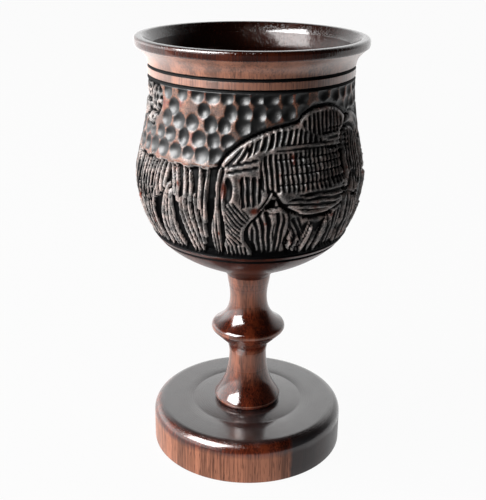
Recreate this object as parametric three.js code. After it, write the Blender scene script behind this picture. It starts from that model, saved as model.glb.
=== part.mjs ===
// A carved hardwood goblet, turned in three pieces that are glued together.
// The stem has a round tenon at each end: the lower one sits in a mortise in the foot,
// the upper one in a mortise in the underside of the bowl. Each shoulder of the stem
// beds face to face on its neighbour. Millimetres, +Z up, origin at the middle of the
// face that the foot stands on. The carving on the bowl has its elephant's rump at the front,
// towards -Y, and only its main forms are cut here, without the fine strokes.
import * as THREE from "three";

// Foot: a thick disc with a rounded top edge and a shallow hollow under it.
const FOOT_RADIUS = 35.5;
const FOOT_THICKNESS = 15.5;
const FOOT_EDGE_ROUND = 3.4;
const FOOT_BOTTOM_CHAMFER = 0.7;
const FOOT_HOLLOW_RADIUS = 27;
const FOOT_HOLLOW_DEPTH = 1.2;
const FOOT_HOLLOW_SLOPE = 3;

// Stem: lengths are stacked upwards from the seat on the foot.
const SEAT_RADIUS = 11;
const BELL_RADIUS = 12.4;
const BELL_EDGE_HEIGHT = 2;
const BELL_FLARE_HEIGHT = 17.05;
const LOWER_WAIST_RADIUS = 6.9;
const LOWER_NECK_HEIGHT = 5.6;
const KNOP_BASE_RADIUS = 8.6;
const KNOP_LOWER_HEIGHT = 5.8;
const KNOP_RADIUS = 13.6;
const KNOP_NOSE_ROUND = 1.9;
const KNOP_UPPER_HEIGHT = 12.1;
const UPPER_WAIST_RADIUS = 6.8;
const UPPER_NECK_HEIGHT = 8.7;
const STEM_TOP_RADIUS = 7.9;

// Glued joints between the stem and its neighbours.
const FOOT_TENON_RADIUS = 5.5;
const FOOT_TENON_LENGTH = 8.5;
const BOWL_TENON_RADIUS = 5;
const BOWL_TENON_LENGTH = 7.5;
const TENON_CHAMFER = 0.8;
const GLUE_GAP = 0.1;
const MORTISE_END_ROOM = 0.6;

// Bowl: heights are stacked upwards from the shoulder of the stem.
const UNDERSIDE_HEIGHT = 15.4;
const UNDERSIDE_RADIUS = 31.5;
const LOWER_BELLY_HEIGHT = 23.4;
const BELLY_RADIUS = 40.3;
const UPPER_BELLY_HEIGHT = 33.5;
const NECK_RADIUS = 35;
const NECK_HEIGHT = 4.4;
const LIP_FLARE_HEIGHT = 6;
const LIP_RADIUS = 39.4;
const LIP_ROUND = 1.7;
const WALL_AT_BELLY = 5.4;
const WALL_AT_NECK = 2.8;
const INNER_BELLY_RISE = 1;
const BOWL_FLOOR_HEIGHT = 13.6;

// Scored lines: a pair that closes the carved band below, and a pair under the lip.
const SCORE_WIDTH = 1.3;
const SCORE_DEPTH = 0.8;
const LOWER_SCORES_ABOVE_UNDERSIDE = [1.2, 3.4];
const UPPER_SCORES_ABOVE_NECK = [0.6, 4];

// The carving fills the band between the two inner scored lines. Its places are pairs: how far
// round the belly from the front, to the right as seen from there, and how far up the outside.
const PICTURE_RISE = 1.1;
const CARVED_STEPS = 96;
const CARVED_ROW = 2.3;

// Sky: rows of gouge scoops, listed at the front and evenly spaced over the rest.
const SKYLINE = 33.3;
const SCOOP_RADIUS = 2.95;
const SCOOP_DEPTH = 1.25;
const SCOOP_SPACING = 5.6;
const EARLY_START = 0.25;
const LATE_START = 0.75;
const FRONT_FROM = -41;
const FRONT_TO = 27;
const SCOOP_ROWS = [
  [55, [-34.6, -26.8, -20.2, -14.2, -8.8, -3.2, 2, 6.8, 12.8, 18.6]],
  [50.4, [-31, -17.4, -7.4, -2.4, 2.8, 8, 13.4, 19.2, 24.4]],
  [46.4, [-34.4, -28, -22, -14.6, -9.6, -2.8, 2.2]],
  [41.6, [-37.2, -31.6, -25.2, -18.8, -13.2, -8]],
  [36.9, [-40, -34.4, -28.2, -22.6, -17.2, -12]],
];

// Meadow: tufts of long grass that lean more and more, with a deep gap between two tufts.
const TUFT_WIDTH = 6.8;
const LEFT_TUFT_LEAN = -0.13;
const RIGHT_TUFT_LEAN = 0.12;
const LEAN_AT_FOOT = 0.6;
const LEAN_GROWTH = 0.025;
const TUFT_CROWN = 0.45;
const TUFT_GAP_DEPTH = 1.9;
const TUFT_ROUND = 2.6;

// Beside the elephant's tail the grass is long leaves, cut to their mean depth, with deep gaps.
const LEAVES_FROM = -50;
const LEAVES_TO = -12;
const LEAF_DEPTH = 0.85;
const LEAF_GAP_EDGE = 0.8;
const LEAF_GAPS = [
  [[-27.2, 22], [-24.9, 21], [-24.2, 14], [-23.2, 8], [-22.6, 3], [-25.8, 3], [-27, 8], [-27.5, 14]],
  [[-14.4, 33], [-13, 33], [-13.2, 22], [-14, 12], [-13.6, 3], [-17, 3], [-16.6, 8], [-15.2, 12], [-15, 20]],
  [[-33, 29], [-31.6, 27], [-33.2, 21], [-34.8, 14], [-34.6, 5], [-36, 5], [-37, 10], [-37.2, 15], [-35.6, 21]],
];

// Forms stand out of the ground with a rounded edge and a cut round them.
const FORM_DROP = 1;
const FORM_ROUND = 3.6;
const MOAT_WIDTH = 2.4;
const MOAT_DEPTH = 2.2;

// The elephant walks to the right. Each form has one outline or more that run together, and
// lies that much deeper than the nearest form. A calf of the same shape is at the back.
const ELEPHANT = [
  { deeper: 0.7, outlines: [
    [[0.2, 18], [4, 21], [9, 21], [12.5, 18], [12, 7], [13, 1.8], [3.5, 1.8], [1, 5.5], [-0.8, 11]],
    [[29.5, 17], [33, 19.5], [36.5, 17], [36, 9], [37, 1.8], [30, 1.8], [30.5, 8]],
  ] },
  { deeper: 0, outlines: [
    [[54, 34], [60, 35.5], [65.5, 28], [66, 18], [64, 10], [65, 6], [69.5, 4], [65.5, 1.6], [60.5, 3.5],
      [60.4, 18]],
  ] },
  { deeper: 0, outlines: [
    [[-12, 27.5], [-8.8, 36.5], [-1, 42.2], [9, 45.4], [17.5, 47], [22.5, 50.3], [33, 50.8], [39, 48.6],
      [47, 36], [46.5, 27], [36, 20.5], [26, 17.4], [16, 18.3], [7.5, 24], [-4, 19], [-9.8, 19]],
    [[36, 28], [45, 30], [45, 9], [46.5, 1.8], [37, 1.8], [36.2, 16]],
    [[-11.8, 28], [2, 31], [6.8, 25.5], [1.6, 18], [-2.4, 11], [0.3, 1.8], [-9.6, 1.8], [-8.6, 14]],
    [[40, 43.5], [46, 47], [53, 46], [60, 35], [58, 29], [52, 26], [42, 33]],
  ] },
  { deeper: 0, outlines: [
    [[37.5, 40.5], [41.5, 43], [47, 42], [50, 37], [46, 22.5], [41.5, 20.8], [36.8, 32]],
  ] },
];
// Hatched patches of the elephant are cut to the mean depth of their strokes: the back, the flank,
// the belly, the hind leg, the front leg, the hump, the ear and the rump.
const HATCH_DEPTH = 0.55;
const HATCH_EDGE = 1.5;
const HATCHED = [
  [[-1.5, 38.5], [1, 42], [8, 44.7], [16, 45.6], [20, 45], [27, 41.6], [27, 40.4], [12, 40.4], [5, 38.8]],
  [[3.5, 26.5], [3.5, 37], [12, 38.3], [36, 38.3], [37, 28], [28, 25.6], [11, 25.6]],
  [[10.5, 21.8], [18, 25.4], [36, 26], [37, 22], [24, 17.8], [17, 18.8]],
  [[-8.7, 22.5], [-4.4, 22.5], [0.2, 17.6], [-2.8, 13], [-2, 7], [-8.9, 7]],
  [[37, 2.5], [37, 26], [45, 27], [45, 2.5]],
  [[18.5, 46.2], [27, 50.2], [38, 47.8], [38, 43.4], [24, 42.6]],
  [[38.2, 40], [46.8, 41.3], [48.7, 29], [45.4, 22.8], [38.9, 26]],
  [[-10.8, 31.5], [-8.3, 36.2], [-4, 39.8], [1, 42], [2, 38.5], [-2.5, 35.8], [-6.5, 34]],
];
const CALF_AROUND = 110;
const CALF_SCALE = 0.62;

// Trees: where the trunk stands and how far it leans, and clumps of leaves measured from its
// foot, as middle and half width and height.
const TREES = [
  { around: -63.9, lean: 2, clumps: [
    [-10, 53, 8, 3.6], [1, 54, 8.5, 3.4], [12, 53.6, 8.5, 3.4], [20, 51.5, 4.6, 4.6],
    [7, 47.5, 6.5, 2.8], [-5, 47, 6, 2.6],
  ] },
  { around: 78, lean: -3, clumps: [
    [-9, 52, 7, 3.2], [1, 54, 8, 3.4], [10, 52.5, 7, 3], [-2, 47.5, 6, 2.6],
  ] },
];
const TRUNK_HEIGHT = 50;
const TRUNK_HALF_WIDTH = 2.4;
const CLUMP_ROUND = 4;
const CLUMP_GAP = 0.45;

// Bends of the curves: each curve's two handles, as shares of its way across and up.
const BELL_EDGE_BEND = [0.55, 0.1, 1, 0.5];
const BELL_FLARE_BEND = [0.2, 0.14, 0.95, 0.34];
const LOWER_NECK_BEND = [0, 0.45, 0.45, 0.82];
const KNOP_LOWER_BEND = [0.3, 0.3, 0.7, 0.62];
const KNOP_UPPER_BEND = [0.62, 0.22, 1, 0.5];
const UPPER_NECK_BEND = [0, 0.4, 0.8, 0.65];
const UNDERSIDE_BEND = [0.13, 0.33, 0.62, 0.42];
const LOWER_BELLY_BEND = [0.41, 0.155, 1, 0.57];
const UPPER_BELLY_BEND = [0, 0.18, 0.96, 0.5];
const LIP_FLARE_BEND = [0, 0.42, 0.5, 0.76];
const INNER_LIP_BEND = [0.3, 0.146, 0.82, 0.45];
const INNER_NECK_BEND = [0, 0.3, 1, 0.62];
const INNER_FLOOR_BEND = [0, 0.6, 0.44, 1];

// Where the round noses begin and end, in degrees from level.
const KNOP_NOSE_FROM = -60;
const KNOP_NOSE_TO = 55;
const LIP_FROM = -45;
const LIP_TO = 135;
const QUARTER_TURN = 90;

// Facets round the axis and steps along each curve.
const TURN_STEPS = 48;
const CURVE_STEPS = 7;
const FLARE_STEPS = 9;
const ROUND_STEPS = 5;

const RED_BROWN_WOOD = { color: 0x3b1710, roughness: 0.2, metalness: 0 };
const STAINED_WOOD = { color: 0x1e0f0b, roughness: 0.35, metalness: 0 };

const at = (radius, height) => new THREE.Vector2(radius, height);

// A cubic stretch of outline between two points, with its bend.
function sweep(from, to, bend, steps) {
  const [acrossFirst, upFirst, acrossLast, upLast] = bend;
  const handle = (across, up) =>
    at(from.x + (to.x - from.x) * across, from.y + (to.y - from.y) * up);
  const first = handle(acrossFirst, upFirst);
  const last = handle(acrossLast, upLast);
  return new THREE.CubicBezierCurve(from, first, last, to).getPoints(steps);
}

// A round stretch of outline about a centre, from one angle to another in degrees.
function round(centre, radius, fromDegrees, toDegrees, steps) {
  const points = [];
  for (let i = 0; i <= steps; i += 1) {
    const degrees = fromDegrees + ((toDegrees - fromDegrees) * i) / steps;
    const angle = THREE.MathUtils.degToRad(degrees);
    points.push(at(centre.x + radius * Math.cos(angle), centre.y + radius * Math.sin(angle)));
  }
  return points;
}

// One outline from its stretches, without the points that two stretches share.
function outline(...stretches) {
  const nearest = 1e-4;
  const apart = (point, i, all) => i === 0 || point.distanceTo(all[i - 1]) > nearest;
  return stretches.flat().filter(apart);
}

// Turns an outline about the +Z axis.
function turned(name, points, finish) {
  const geometry = new THREE.LatheGeometry(points, TURN_STEPS);
  geometry.rotateX(Math.PI / 2);
  const mesh = new THREE.Mesh(geometry, new THREE.MeshStandardMaterial(finish));
  mesh.name = name;
  return mesh;
}

// One ring of points round the axis, from the front towards +X, cut back from an outline's point.
function ring(point, steps, outward = at(0, 0), cut = () => 0) {
  const points = [];
  for (let i = 0; i < steps; i += 1) {
    const angle = (2 * Math.PI * i) / steps;
    const depth = cut(angle);
    const radius = point.x - depth * outward.x;
    const height = point.y - depth * outward.y;
    points.push(new THREE.Vector3(radius * Math.sin(angle), -radius * Math.cos(angle), height));
  }
  return points;
}

// Triangles between two rings, of which one has as many points as the other or a multiple of it.
// Each four corners are split along their shorter diagonal.
function strip(lower, upper) {
  const finer = Math.max(lower.length, upper.length);
  const corner = (points, i) => points[Math.round((i * points.length) / finer) % points.length];
  const triangles = [];
  for (let i = 0; i < finer; i += 1) {
    const [a, b] = [corner(lower, i), corner(lower, i + 1)];
    const [d, c] = [corner(upper, i), corner(upper, i + 1)];
    const rising = a.distanceTo(c) <= b.distanceTo(d);
    const halves = rising ? [[a, b, c], [a, c, d]] : [[a, b, d], [b, c, d]];
    triangles.push(...halves.filter((half) => new Set(half).size === half.length));
  }
  return triangles.flat();
}

// A closed skin over rings that run from one end of the axis to the other.
function skinned(name, rings, finish) {
  const triangles = rings.slice(1).flatMap((upper, i) => strip(rings[i], upper));
  const geometry = new THREE.BufferGeometry().setFromPoints(triangles);
  geometry.computeVertexNormals();
  const mesh = new THREE.Mesh(geometry, new THREE.MeshStandardMaterial(finish));
  mesh.name = name;
  return mesh;
}

// The foot, from the middle of its underside out and up to the floor of its mortise.
function makeFoot() {
  const mortiseRadius = FOOT_TENON_RADIUS + GLUE_GAP;
  const mortiseFloor = FOOT_THICKNESS - FOOT_TENON_LENGTH - MORTISE_END_ROOM;
  const edgeCentre = at(FOOT_RADIUS - FOOT_EDGE_ROUND, FOOT_THICKNESS - FOOT_EDGE_ROUND);
  const points = outline(
    [at(0, FOOT_HOLLOW_DEPTH), at(FOOT_HOLLOW_RADIUS - FOOT_HOLLOW_SLOPE, FOOT_HOLLOW_DEPTH)],
    [at(FOOT_HOLLOW_RADIUS, 0), at(FOOT_RADIUS - FOOT_BOTTOM_CHAMFER, 0)],
    [at(FOOT_RADIUS, FOOT_BOTTOM_CHAMFER)],
    round(edgeCentre, FOOT_EDGE_ROUND, 0, QUARTER_TURN, ROUND_STEPS),
    [at(mortiseRadius, FOOT_THICKNESS), at(mortiseRadius, mortiseFloor), at(0, mortiseFloor)],
  );
  return turned("foot", points, RED_BROWN_WOOD);
}

// Heights of the stem's features above its seat.
const bellEdge = BELL_EDGE_HEIGHT;
const lowerWaist = bellEdge + BELL_FLARE_HEIGHT;
const knopBase = lowerWaist + LOWER_NECK_HEIGHT;
const knopMiddle = knopBase + KNOP_LOWER_HEIGHT;
const upperWaist = knopMiddle + KNOP_UPPER_HEIGHT;
const stemHeight = upperWaist + UPPER_NECK_HEIGHT;

// The stem, from the end of its lower tenon up to the end of its upper one.
function makeStem() {
  const lowerEnd = -FOOT_TENON_LENGTH;
  const upperEnd = stemHeight + BOWL_TENON_LENGTH;
  const noseCentre = at(KNOP_RADIUS - KNOP_NOSE_ROUND, knopMiddle);
  const nose = round(noseCentre, KNOP_NOSE_ROUND, KNOP_NOSE_FROM, KNOP_NOSE_TO, ROUND_STEPS);
  const atBellEdge = at(BELL_RADIUS, bellEdge);
  const atLowerWaist = at(LOWER_WAIST_RADIUS, lowerWaist);
  const atKnopBase = at(KNOP_BASE_RADIUS, knopBase);
  const atUpperWaist = at(UPPER_WAIST_RADIUS, upperWaist);
  const atTop = at(STEM_TOP_RADIUS, stemHeight);
  const points = outline(
    [at(0, lowerEnd), at(FOOT_TENON_RADIUS - TENON_CHAMFER, lowerEnd)],
    [at(FOOT_TENON_RADIUS, lowerEnd + TENON_CHAMFER), at(FOOT_TENON_RADIUS, 0)],
    sweep(at(SEAT_RADIUS, 0), atBellEdge, BELL_EDGE_BEND, ROUND_STEPS),
    sweep(atBellEdge, atLowerWaist, BELL_FLARE_BEND, FLARE_STEPS),
    sweep(atLowerWaist, atKnopBase, LOWER_NECK_BEND, CURVE_STEPS),
    sweep(atKnopBase, nose[0], KNOP_LOWER_BEND, ROUND_STEPS),
    nose,
    sweep(nose[ROUND_STEPS], atUpperWaist, KNOP_UPPER_BEND, FLARE_STEPS),
    sweep(atUpperWaist, atTop, UPPER_NECK_BEND, ROUND_STEPS),
    [at(BOWL_TENON_RADIUS, stemHeight), at(BOWL_TENON_RADIUS, upperEnd - TENON_CHAMFER)],
    [at(BOWL_TENON_RADIUS - TENON_CHAMFER, upperEnd), at(0, upperEnd)],
  );
  return turned("stem", points, RED_BROWN_WOOD);
}

// Heights of the bowl's features above the shoulder of the stem.
const underside = UNDERSIDE_HEIGHT;
const belly = underside + LOWER_BELLY_HEIGHT;
const neck = belly + UPPER_BELLY_HEIGHT;
const lipFlare = neck + NECK_HEIGHT;
const lipStart = lipFlare + LIP_FLARE_HEIGHT;

// The turned outside of the bowl, from the stem's shoulder up to the lip, before it is scored.
function bowlOutside(lipFoot) {
  const atUnderside = at(UNDERSIDE_RADIUS, underside);
  const atBelly = at(BELLY_RADIUS, belly);
  const atLipFlare = at(NECK_RADIUS, lipFlare);
  return outline(
    sweep(at(STEM_TOP_RADIUS, 0), atUnderside, UNDERSIDE_BEND, CURVE_STEPS),
    sweep(atUnderside, atBelly, LOWER_BELLY_BEND, CURVE_STEPS),
    sweep(atBelly, at(NECK_RADIUS, neck), UPPER_BELLY_BEND, CURVE_STEPS),
    sweep(atLipFlare, lipFoot, LIP_FLARE_BEND, ROUND_STEPS),
  );
}

// Radius of an outline that rises all the way, at a height.
function radiusAt(points, height) {
  const above = points.findIndex((point) => point.y >= height);
  const low = points[above - 1];
  const high = points[above];
  return low.x + ((high.x - low.x) * (height - low.y)) / (high.y - low.y);
}

// The stretch of a rising outline between two heights.
function between(points, from, to) {
  const ends = [from, to].map((height) => at(radiusAt(points, height), height));
  return [ends[0], ...points.filter((point) => point.y > from && point.y < to), ends[1]];
}

// Cuts V-shaped scored lines into an outline that rises all the way.
function scored(points, heights) {
  const half = SCORE_WIDTH / 2;
  const kept = points.filter((point) => heights.every((height) => Math.abs(point.y - height) > half));
  const cuts = heights.flatMap((height) => [
    at(radiusAt(points, height - half), height - half),
    at(radiusAt(points, height) - SCORE_DEPTH, height),
    at(radiusAt(points, height + half), height + half),
  ]);
  return [...kept, ...cuts].sort((a, b) => a.y - b.y);
}

// The short way round the belly from one place to another, to the right or the left.
const girth = 2 * Math.PI * BELLY_RADIUS;
const wayRound = (distance) => distance - girth * Math.round(distance / girth);

// Depth of the scoops: the deepest that reaches the place, or none.
function skyDepth(around, up) {
  let depth = 0;
  SCOOP_ROWS.forEach(([height, front], row) => {
    const first = FRONT_TO + (row % 2 ? LATE_START : EARLY_START) * SCOOP_SPACING;
    const count = Math.floor((girth - (FRONT_TO - FRONT_FROM)) / SCOOP_SPACING);
    const rest = Array.from({ length: count }, (_, i) => first + i * SCOOP_SPACING);
    [...front, ...rest].forEach((centre) => {
      const away = Math.hypot(wayRound(around - centre), up - height) / SCOOP_RADIUS;
      depth = Math.max(depth, SCOOP_DEPTH * (1 - away ** 2));
    });
  });
  return depth;
}

// How far a place lies inside an outline, or outside it as a negative distance.
function insideBy(points, x, y) {
  let inside = false;
  let nearest = Infinity;
  points.forEach(([x0, y0], i) => {
    const [x1, y1] = points[(i + 1) % points.length];
    if (y0 > y !== y1 > y && x < x0 + ((x1 - x0) * (y - y0)) / (y1 - y0)) inside = !inside;
    const along = ((x - x0) * (x1 - x0) + (y - y0) * (y1 - y0)) / ((x1 - x0) ** 2 + (y1 - y0) ** 2);
    const t = THREE.MathUtils.clamp(along, 0, 1);
    nearest = Math.min(nearest, Math.hypot(x - x0 - t * (x1 - x0), y - y0 - t * (y1 - y0)));
  });
  return inside ? nearest : -nearest;
}

// How far a place lies inside any of some outlines, as a share of the width of their edges.
function shareInside(outlines, x, y, edge) {
  const within = Math.max(...outlines.map((points) => insideBy(points, x, y)));
  return THREE.MathUtils.clamp(within / edge, 0, 1);
}

// Depth of the grass: long leaves at the front, and tufts with a round crown and a gap beside it.
function meadowDepth(around, up) {
  if (around > LEAVES_FROM && around < LEAVES_TO) {
    return LEAF_DEPTH + (TUFT_GAP_DEPTH - LEAF_DEPTH) * shareInside(LEAF_GAPS, around, up, LEAF_GAP_EDGE);
  }
  const lean = around < 0 ? LEFT_TUFT_LEAN : RIGHT_TUFT_LEAN;
  const straight = around - lean * up * (LEAN_AT_FOOT + LEAN_GROWTH * up);
  const share = straight / TUFT_WIDTH - Math.round(straight / TUFT_WIDTH);
  return TUFT_CROWN + (TUFT_GAP_DEPTH - TUFT_CROWN) * Math.abs(2 * share) ** TUFT_ROUND;
}

// Depth of a form's rounded crown inside its edge, or of the cut round it.
function formDepth(within, deeper, ground) {
  if (within < 0) return Math.max(ground, MOAT_DEPTH * Math.sqrt(Math.max(1 + within / MOAT_WIDTH, 0)));
  const fromEdge = Math.min(within / FORM_ROUND, 1);
  return deeper + FORM_DROP * (1 - Math.sqrt(1 - (1 - fromEdge) ** 2));
}

// Depth of an elephant that walks from a place round the belly, at a scale.
function elephantDepth(around, up, start, scale, ground) {
  const x = wayRound(around - start) / scale;
  const y = up / scale;
  return ELEPHANT.reduce((depth, { deeper, outlines }) => {
    const within = Math.max(...outlines.map((points) => insideBy(points, x, y)));
    return formDepth(within * scale, deeper * scale, depth);
  }, ground);
}

// Depth of a tree: a trunk, and clumps of leaves over it.
function treeDepth(around, up, tree, ground) {
  const x = wayRound(around - tree.around);
  const beside = Math.abs(x - tree.lean * (up / TRUNK_HEIGHT) ** 2);
  const trunk = up < TRUNK_HEIGHT ? formDepth(TRUNK_HALF_WIDTH - beside, 0, ground) : ground;
  return tree.clumps.reduce((depth, [middle, height, halfWidth, halfHeight]) => {
    const reach = Math.hypot((x - middle) / halfWidth, (up - height) / halfHeight);
    if (reach < 1) return FORM_DROP * reach ** CLUMP_ROUND;
    return Math.max(depth, MOAT_DEPTH * Math.sqrt(Math.max(1 - (reach - 1) / CLUMP_GAP, 0)));
  }, trunk);
}

// Depth of the carving at a place, from the farthest thing to the nearest.
function carvedDepth(around, up) {
  const open = up > SKYLINE ? skyDepth(around, up) : meadowDepth(around, up);
  const wooded = TREES.reduce((depth, tree) => treeDepth(around, up, tree, depth), open);
  const calf = elephantDepth(around, up, CALF_AROUND, CALF_SCALE, wooded);
  return elephantDepth(around, up, 0, 1, calf) + HATCH_DEPTH * shareInside(HATCHED, around, up, HATCH_EDGE);
}

// Rings of the carved band, from the lower scored line to the belly and on to the upper line.
function carvedRings(outside, from, to, lowerLine) {
  const stretches = [between(outside, from, belly), between(outside, belly, to)];
  const rings = [];
  let startUp = PICTURE_RISE + from - lowerLine;
  stretches.forEach((points, i) => {
    const curve = new THREE.SplineCurve(points);
    const length = curve.getLength();
    const rows = Math.round(length / CARVED_ROW);
    const lastRow = i === 0 ? rows : rows - 1;
    for (let row = 1; row <= lastRow; row += 1) {
      const share = row / rows;
      const up = startUp + share * length;
      const along = curve.getTangentAt(share);
      const cut = (angle) => carvedDepth(wayRound(angle * BELLY_RADIUS), up);
      rings.push(ring(curve.getPointAt(share), CARVED_STEPS, at(along.y, -along.x), cut));
    }
    startUp += length;
  });
  return rings;
}

// The bowl, from the roof of its mortise out, up to the lip and down again inside.
function makeBowl() {
  const mortiseRadius = BOWL_TENON_RADIUS + GLUE_GAP;
  const mortiseRoof = BOWL_TENON_LENGTH + MORTISE_END_ROOM;
  const lipRise = LIP_ROUND * Math.sin(THREE.MathUtils.degToRad(-LIP_FROM));
  const lipSteps = 2 * ROUND_STEPS;
  const lipCentre = at(LIP_RADIUS - LIP_ROUND, lipStart + lipRise);
  const lip = round(lipCentre, LIP_ROUND, LIP_FROM, LIP_TO, lipSteps);
  const lowerScores = LOWER_SCORES_ABOVE_UNDERSIDE.map((rise) => underside + rise);
  const upperScores = UPPER_SCORES_ABOVE_NECK.map((rise) => neck + rise);
  const lowerLine = Math.max(...lowerScores);
  const upperLine = Math.min(...upperScores);
  const bandFrom = lowerLine + SCORE_WIDTH / 2;
  const bandTo = upperLine - SCORE_WIDTH / 2;
  const innerNeck = at(NECK_RADIUS - WALL_AT_NECK, lipFlare);
  const innerBelly = at(BELLY_RADIUS - WALL_AT_BELLY, belly + INNER_BELLY_RISE);
  const outside = bowlOutside(lip[0]);
  const scoredOutside = scored(outside, [...lowerScores, ...upperScores]);
  const nearest = 1e-6;
  const below = outline(
    [at(0, mortiseRoof), at(mortiseRadius, mortiseRoof), at(mortiseRadius, 0)],
    scoredOutside.filter((point) => point.y <= bandFrom + nearest),
  );
  const above = outline(
    scoredOutside.filter((point) => point.y >= bandTo - nearest),
    lip,
    sweep(lip[lipSteps], innerNeck, INNER_LIP_BEND, CURVE_STEPS),
    sweep(innerNeck, innerBelly, INNER_NECK_BEND, CURVE_STEPS),
    sweep(innerBelly, at(0, BOWL_FLOOR_HEIGHT), INNER_FLOOR_BEND, FLARE_STEPS),
  );
  const plain = (point) => ring(point, point.x > nearest ? TURN_STEPS : 1);
  const rings = [
    ...below.map(plain),
    ...carvedRings(outside, bandFrom, bandTo, lowerLine),
    ...above.map(plain),
  ];
  return skinned("bowl", rings, STAINED_WOOD);
}

const foot = makeFoot();

const stem = makeStem();
stem.position.z = FOOT_THICKNESS;

const bowl = makeBowl();
bowl.position.z = FOOT_THICKNESS + stemHeight;

const goblet = new THREE.Group();
goblet.name = "carved_goblet";
goblet.add(foot, stem, bowl);

export default goblet;
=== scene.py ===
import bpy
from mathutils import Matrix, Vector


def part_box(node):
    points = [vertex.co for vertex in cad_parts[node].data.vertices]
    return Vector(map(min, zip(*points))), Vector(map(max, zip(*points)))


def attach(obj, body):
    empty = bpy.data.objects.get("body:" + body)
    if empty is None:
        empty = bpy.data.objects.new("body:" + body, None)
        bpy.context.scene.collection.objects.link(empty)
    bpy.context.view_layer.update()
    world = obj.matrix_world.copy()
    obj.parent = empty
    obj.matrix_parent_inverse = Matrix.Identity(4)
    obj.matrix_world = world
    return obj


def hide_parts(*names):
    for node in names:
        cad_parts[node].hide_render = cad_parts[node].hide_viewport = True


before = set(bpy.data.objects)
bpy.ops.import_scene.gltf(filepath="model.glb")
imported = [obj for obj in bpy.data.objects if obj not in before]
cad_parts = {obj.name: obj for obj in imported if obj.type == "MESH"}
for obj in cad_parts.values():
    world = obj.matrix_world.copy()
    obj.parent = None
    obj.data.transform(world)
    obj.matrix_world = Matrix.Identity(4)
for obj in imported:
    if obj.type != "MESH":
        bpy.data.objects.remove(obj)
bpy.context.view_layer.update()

import math
from functools import partial

import bmesh
import bpy
import numpy as np
from bpy.props import FloatProperty, FloatVectorProperty, PointerProperty
from mathutils import Euler, Vector

bl_info = {
    "name": "Carved Goblet",
    "version": (1, 0, 0),
    "blender": (4, 5, 0),
    "location": "3D View > Sidebar > Goblet",
    "description": "A turned hardwood goblet with an elephant carved in relief on its bowl",
    "category": "Add Mesh",
}

MM = 0.001
BODY = "root"

_, FOOT_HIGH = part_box("foot")
STEM_LOW, STEM_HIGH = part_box("stem")
BOWL_LOW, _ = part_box("bowl")

# Facets round the axis. The carved skin is finer than the turned surfaces.
CARVED_STEPS = 720
TURNED_STEPS = 180
SECTORS = 20
CURVE_STEPS = 14
ROUND_STEPS = 8


def linear(hex_colour):
    """The linear colour, with alpha, of an sRGB hex value such as 4a1d12."""
    channels = [int(hex_colour[i:i + 2], 16) / 255 for i in (0, 2, 4)]
    return [c / 12.92 if c <= 0.04045 else ((c + 0.055) / 1.055) ** 2.4 for c in channels] + [1.0]


def length(name, description, millimetres):
    """A length that a user may change, with its default in millimetres."""
    return FloatProperty(name=name, description=description, default=millimetres * MM,
                         min=0.0, precision=5, unit="LENGTH")


def number(name, description, default, **more):
    """A plain number that a user may change, not below zero."""
    return FloatProperty(name=name, description=description, default=default, min=0.0, **more)


def colour(name, description, hex_colour):
    """A colour that a user may change."""
    return FloatVectorProperty(name=name, description=description, default=linear(hex_colour),
                               size=4, min=0.0, max=1.0, subtype="COLOR")


class FootSizes(bpy.types.PropertyGroup):
    """Sizes of the disc that the goblet stands on."""
    radius: length("Radius", "Radius of the disc", FOOT_HIGH.x / MM)
    thickness: length("Thickness", "Height of the flat top", FOOT_HIGH.z / MM)
    edge_round: length("Edge round", "Radius of the rounded top edge", 4.2)
    bottom_chamfer: length("Bottom chamfer", "Chamfer where the disc meets the table", 0.7)
    hollow_radius: length("Hollow radius", "Radius of the hollow underneath", 27)
    hollow_depth: length("Hollow depth", "Depth of the hollow underneath", 1.2)
    hollow_slope: length("Hollow slope", "Width of the hollow's sloping side", 3)
    mortise_radius: length("Mortise radius", "Radius of the hole for the stem's tenon", 5.6)
    mortise_depth: length("Mortise depth", "Depth of the hole for the stem's tenon", 9.1)
    ring_radius: length("Ring radius", "Radius of the ring that the turning tool left on top", 20.5)
    ring_depth: length("Ring depth", "Depth of that ring", 0.09)


class StemSizes(bpy.types.PropertyGroup):
    """Sizes of the stem, with its bell below and its knop in the middle."""
    seat_radius: length("Seat radius", "Radius of the face that sits on the foot", 11)
    bell_radius: length("Bell radius", "Radius of the bell above its seat", 12.4)
    bell_edge_height: length("Bell edge", "Height of the bell's undercut edge", 2)
    bell_flare_height: length("Bell flare", "Height from the edge up to the lower waist", 17.05)
    lower_waist_radius: length("Lower waist", "Radius of the waist under the knop", 6.9)
    lower_neck_height: length("Lower neck", "Height from the lower waist to the knop's base", 5.6)
    knop_base_radius: length("Knop base", "Radius at the knop's base", 8.6)
    knop_lower_height: length("Knop underside", "Height from the knop's base to its nose", 5.8)
    knop_radius: length("Knop radius", "Radius of the knop at its nose", 13.6)
    knop_nose_round: length("Knop nose", "Radius of the knop's rounded nose", 1.9)
    knop_upper_height: length("Knop shoulder", "Height from the nose to the upper waist", 12.1)
    upper_waist_radius: length("Upper waist", "Radius of the waist above the knop", 6.8)
    upper_neck_height: length("Upper neck", "Height from the upper waist to the bowl", 8.7)
    top_radius: length("Top radius", "Radius of the face under the bowl", 7.9)
    foot_tenon_radius: length("Foot tenon", "Radius of the tenon in the foot", 5.5)
    bowl_tenon_radius: length("Bowl tenon", "Radius of the tenon in the bowl", 5)
    tenon_chamfer: length("Tenon chamfer", "Chamfer of the tenons' ends", 0.8)


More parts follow.
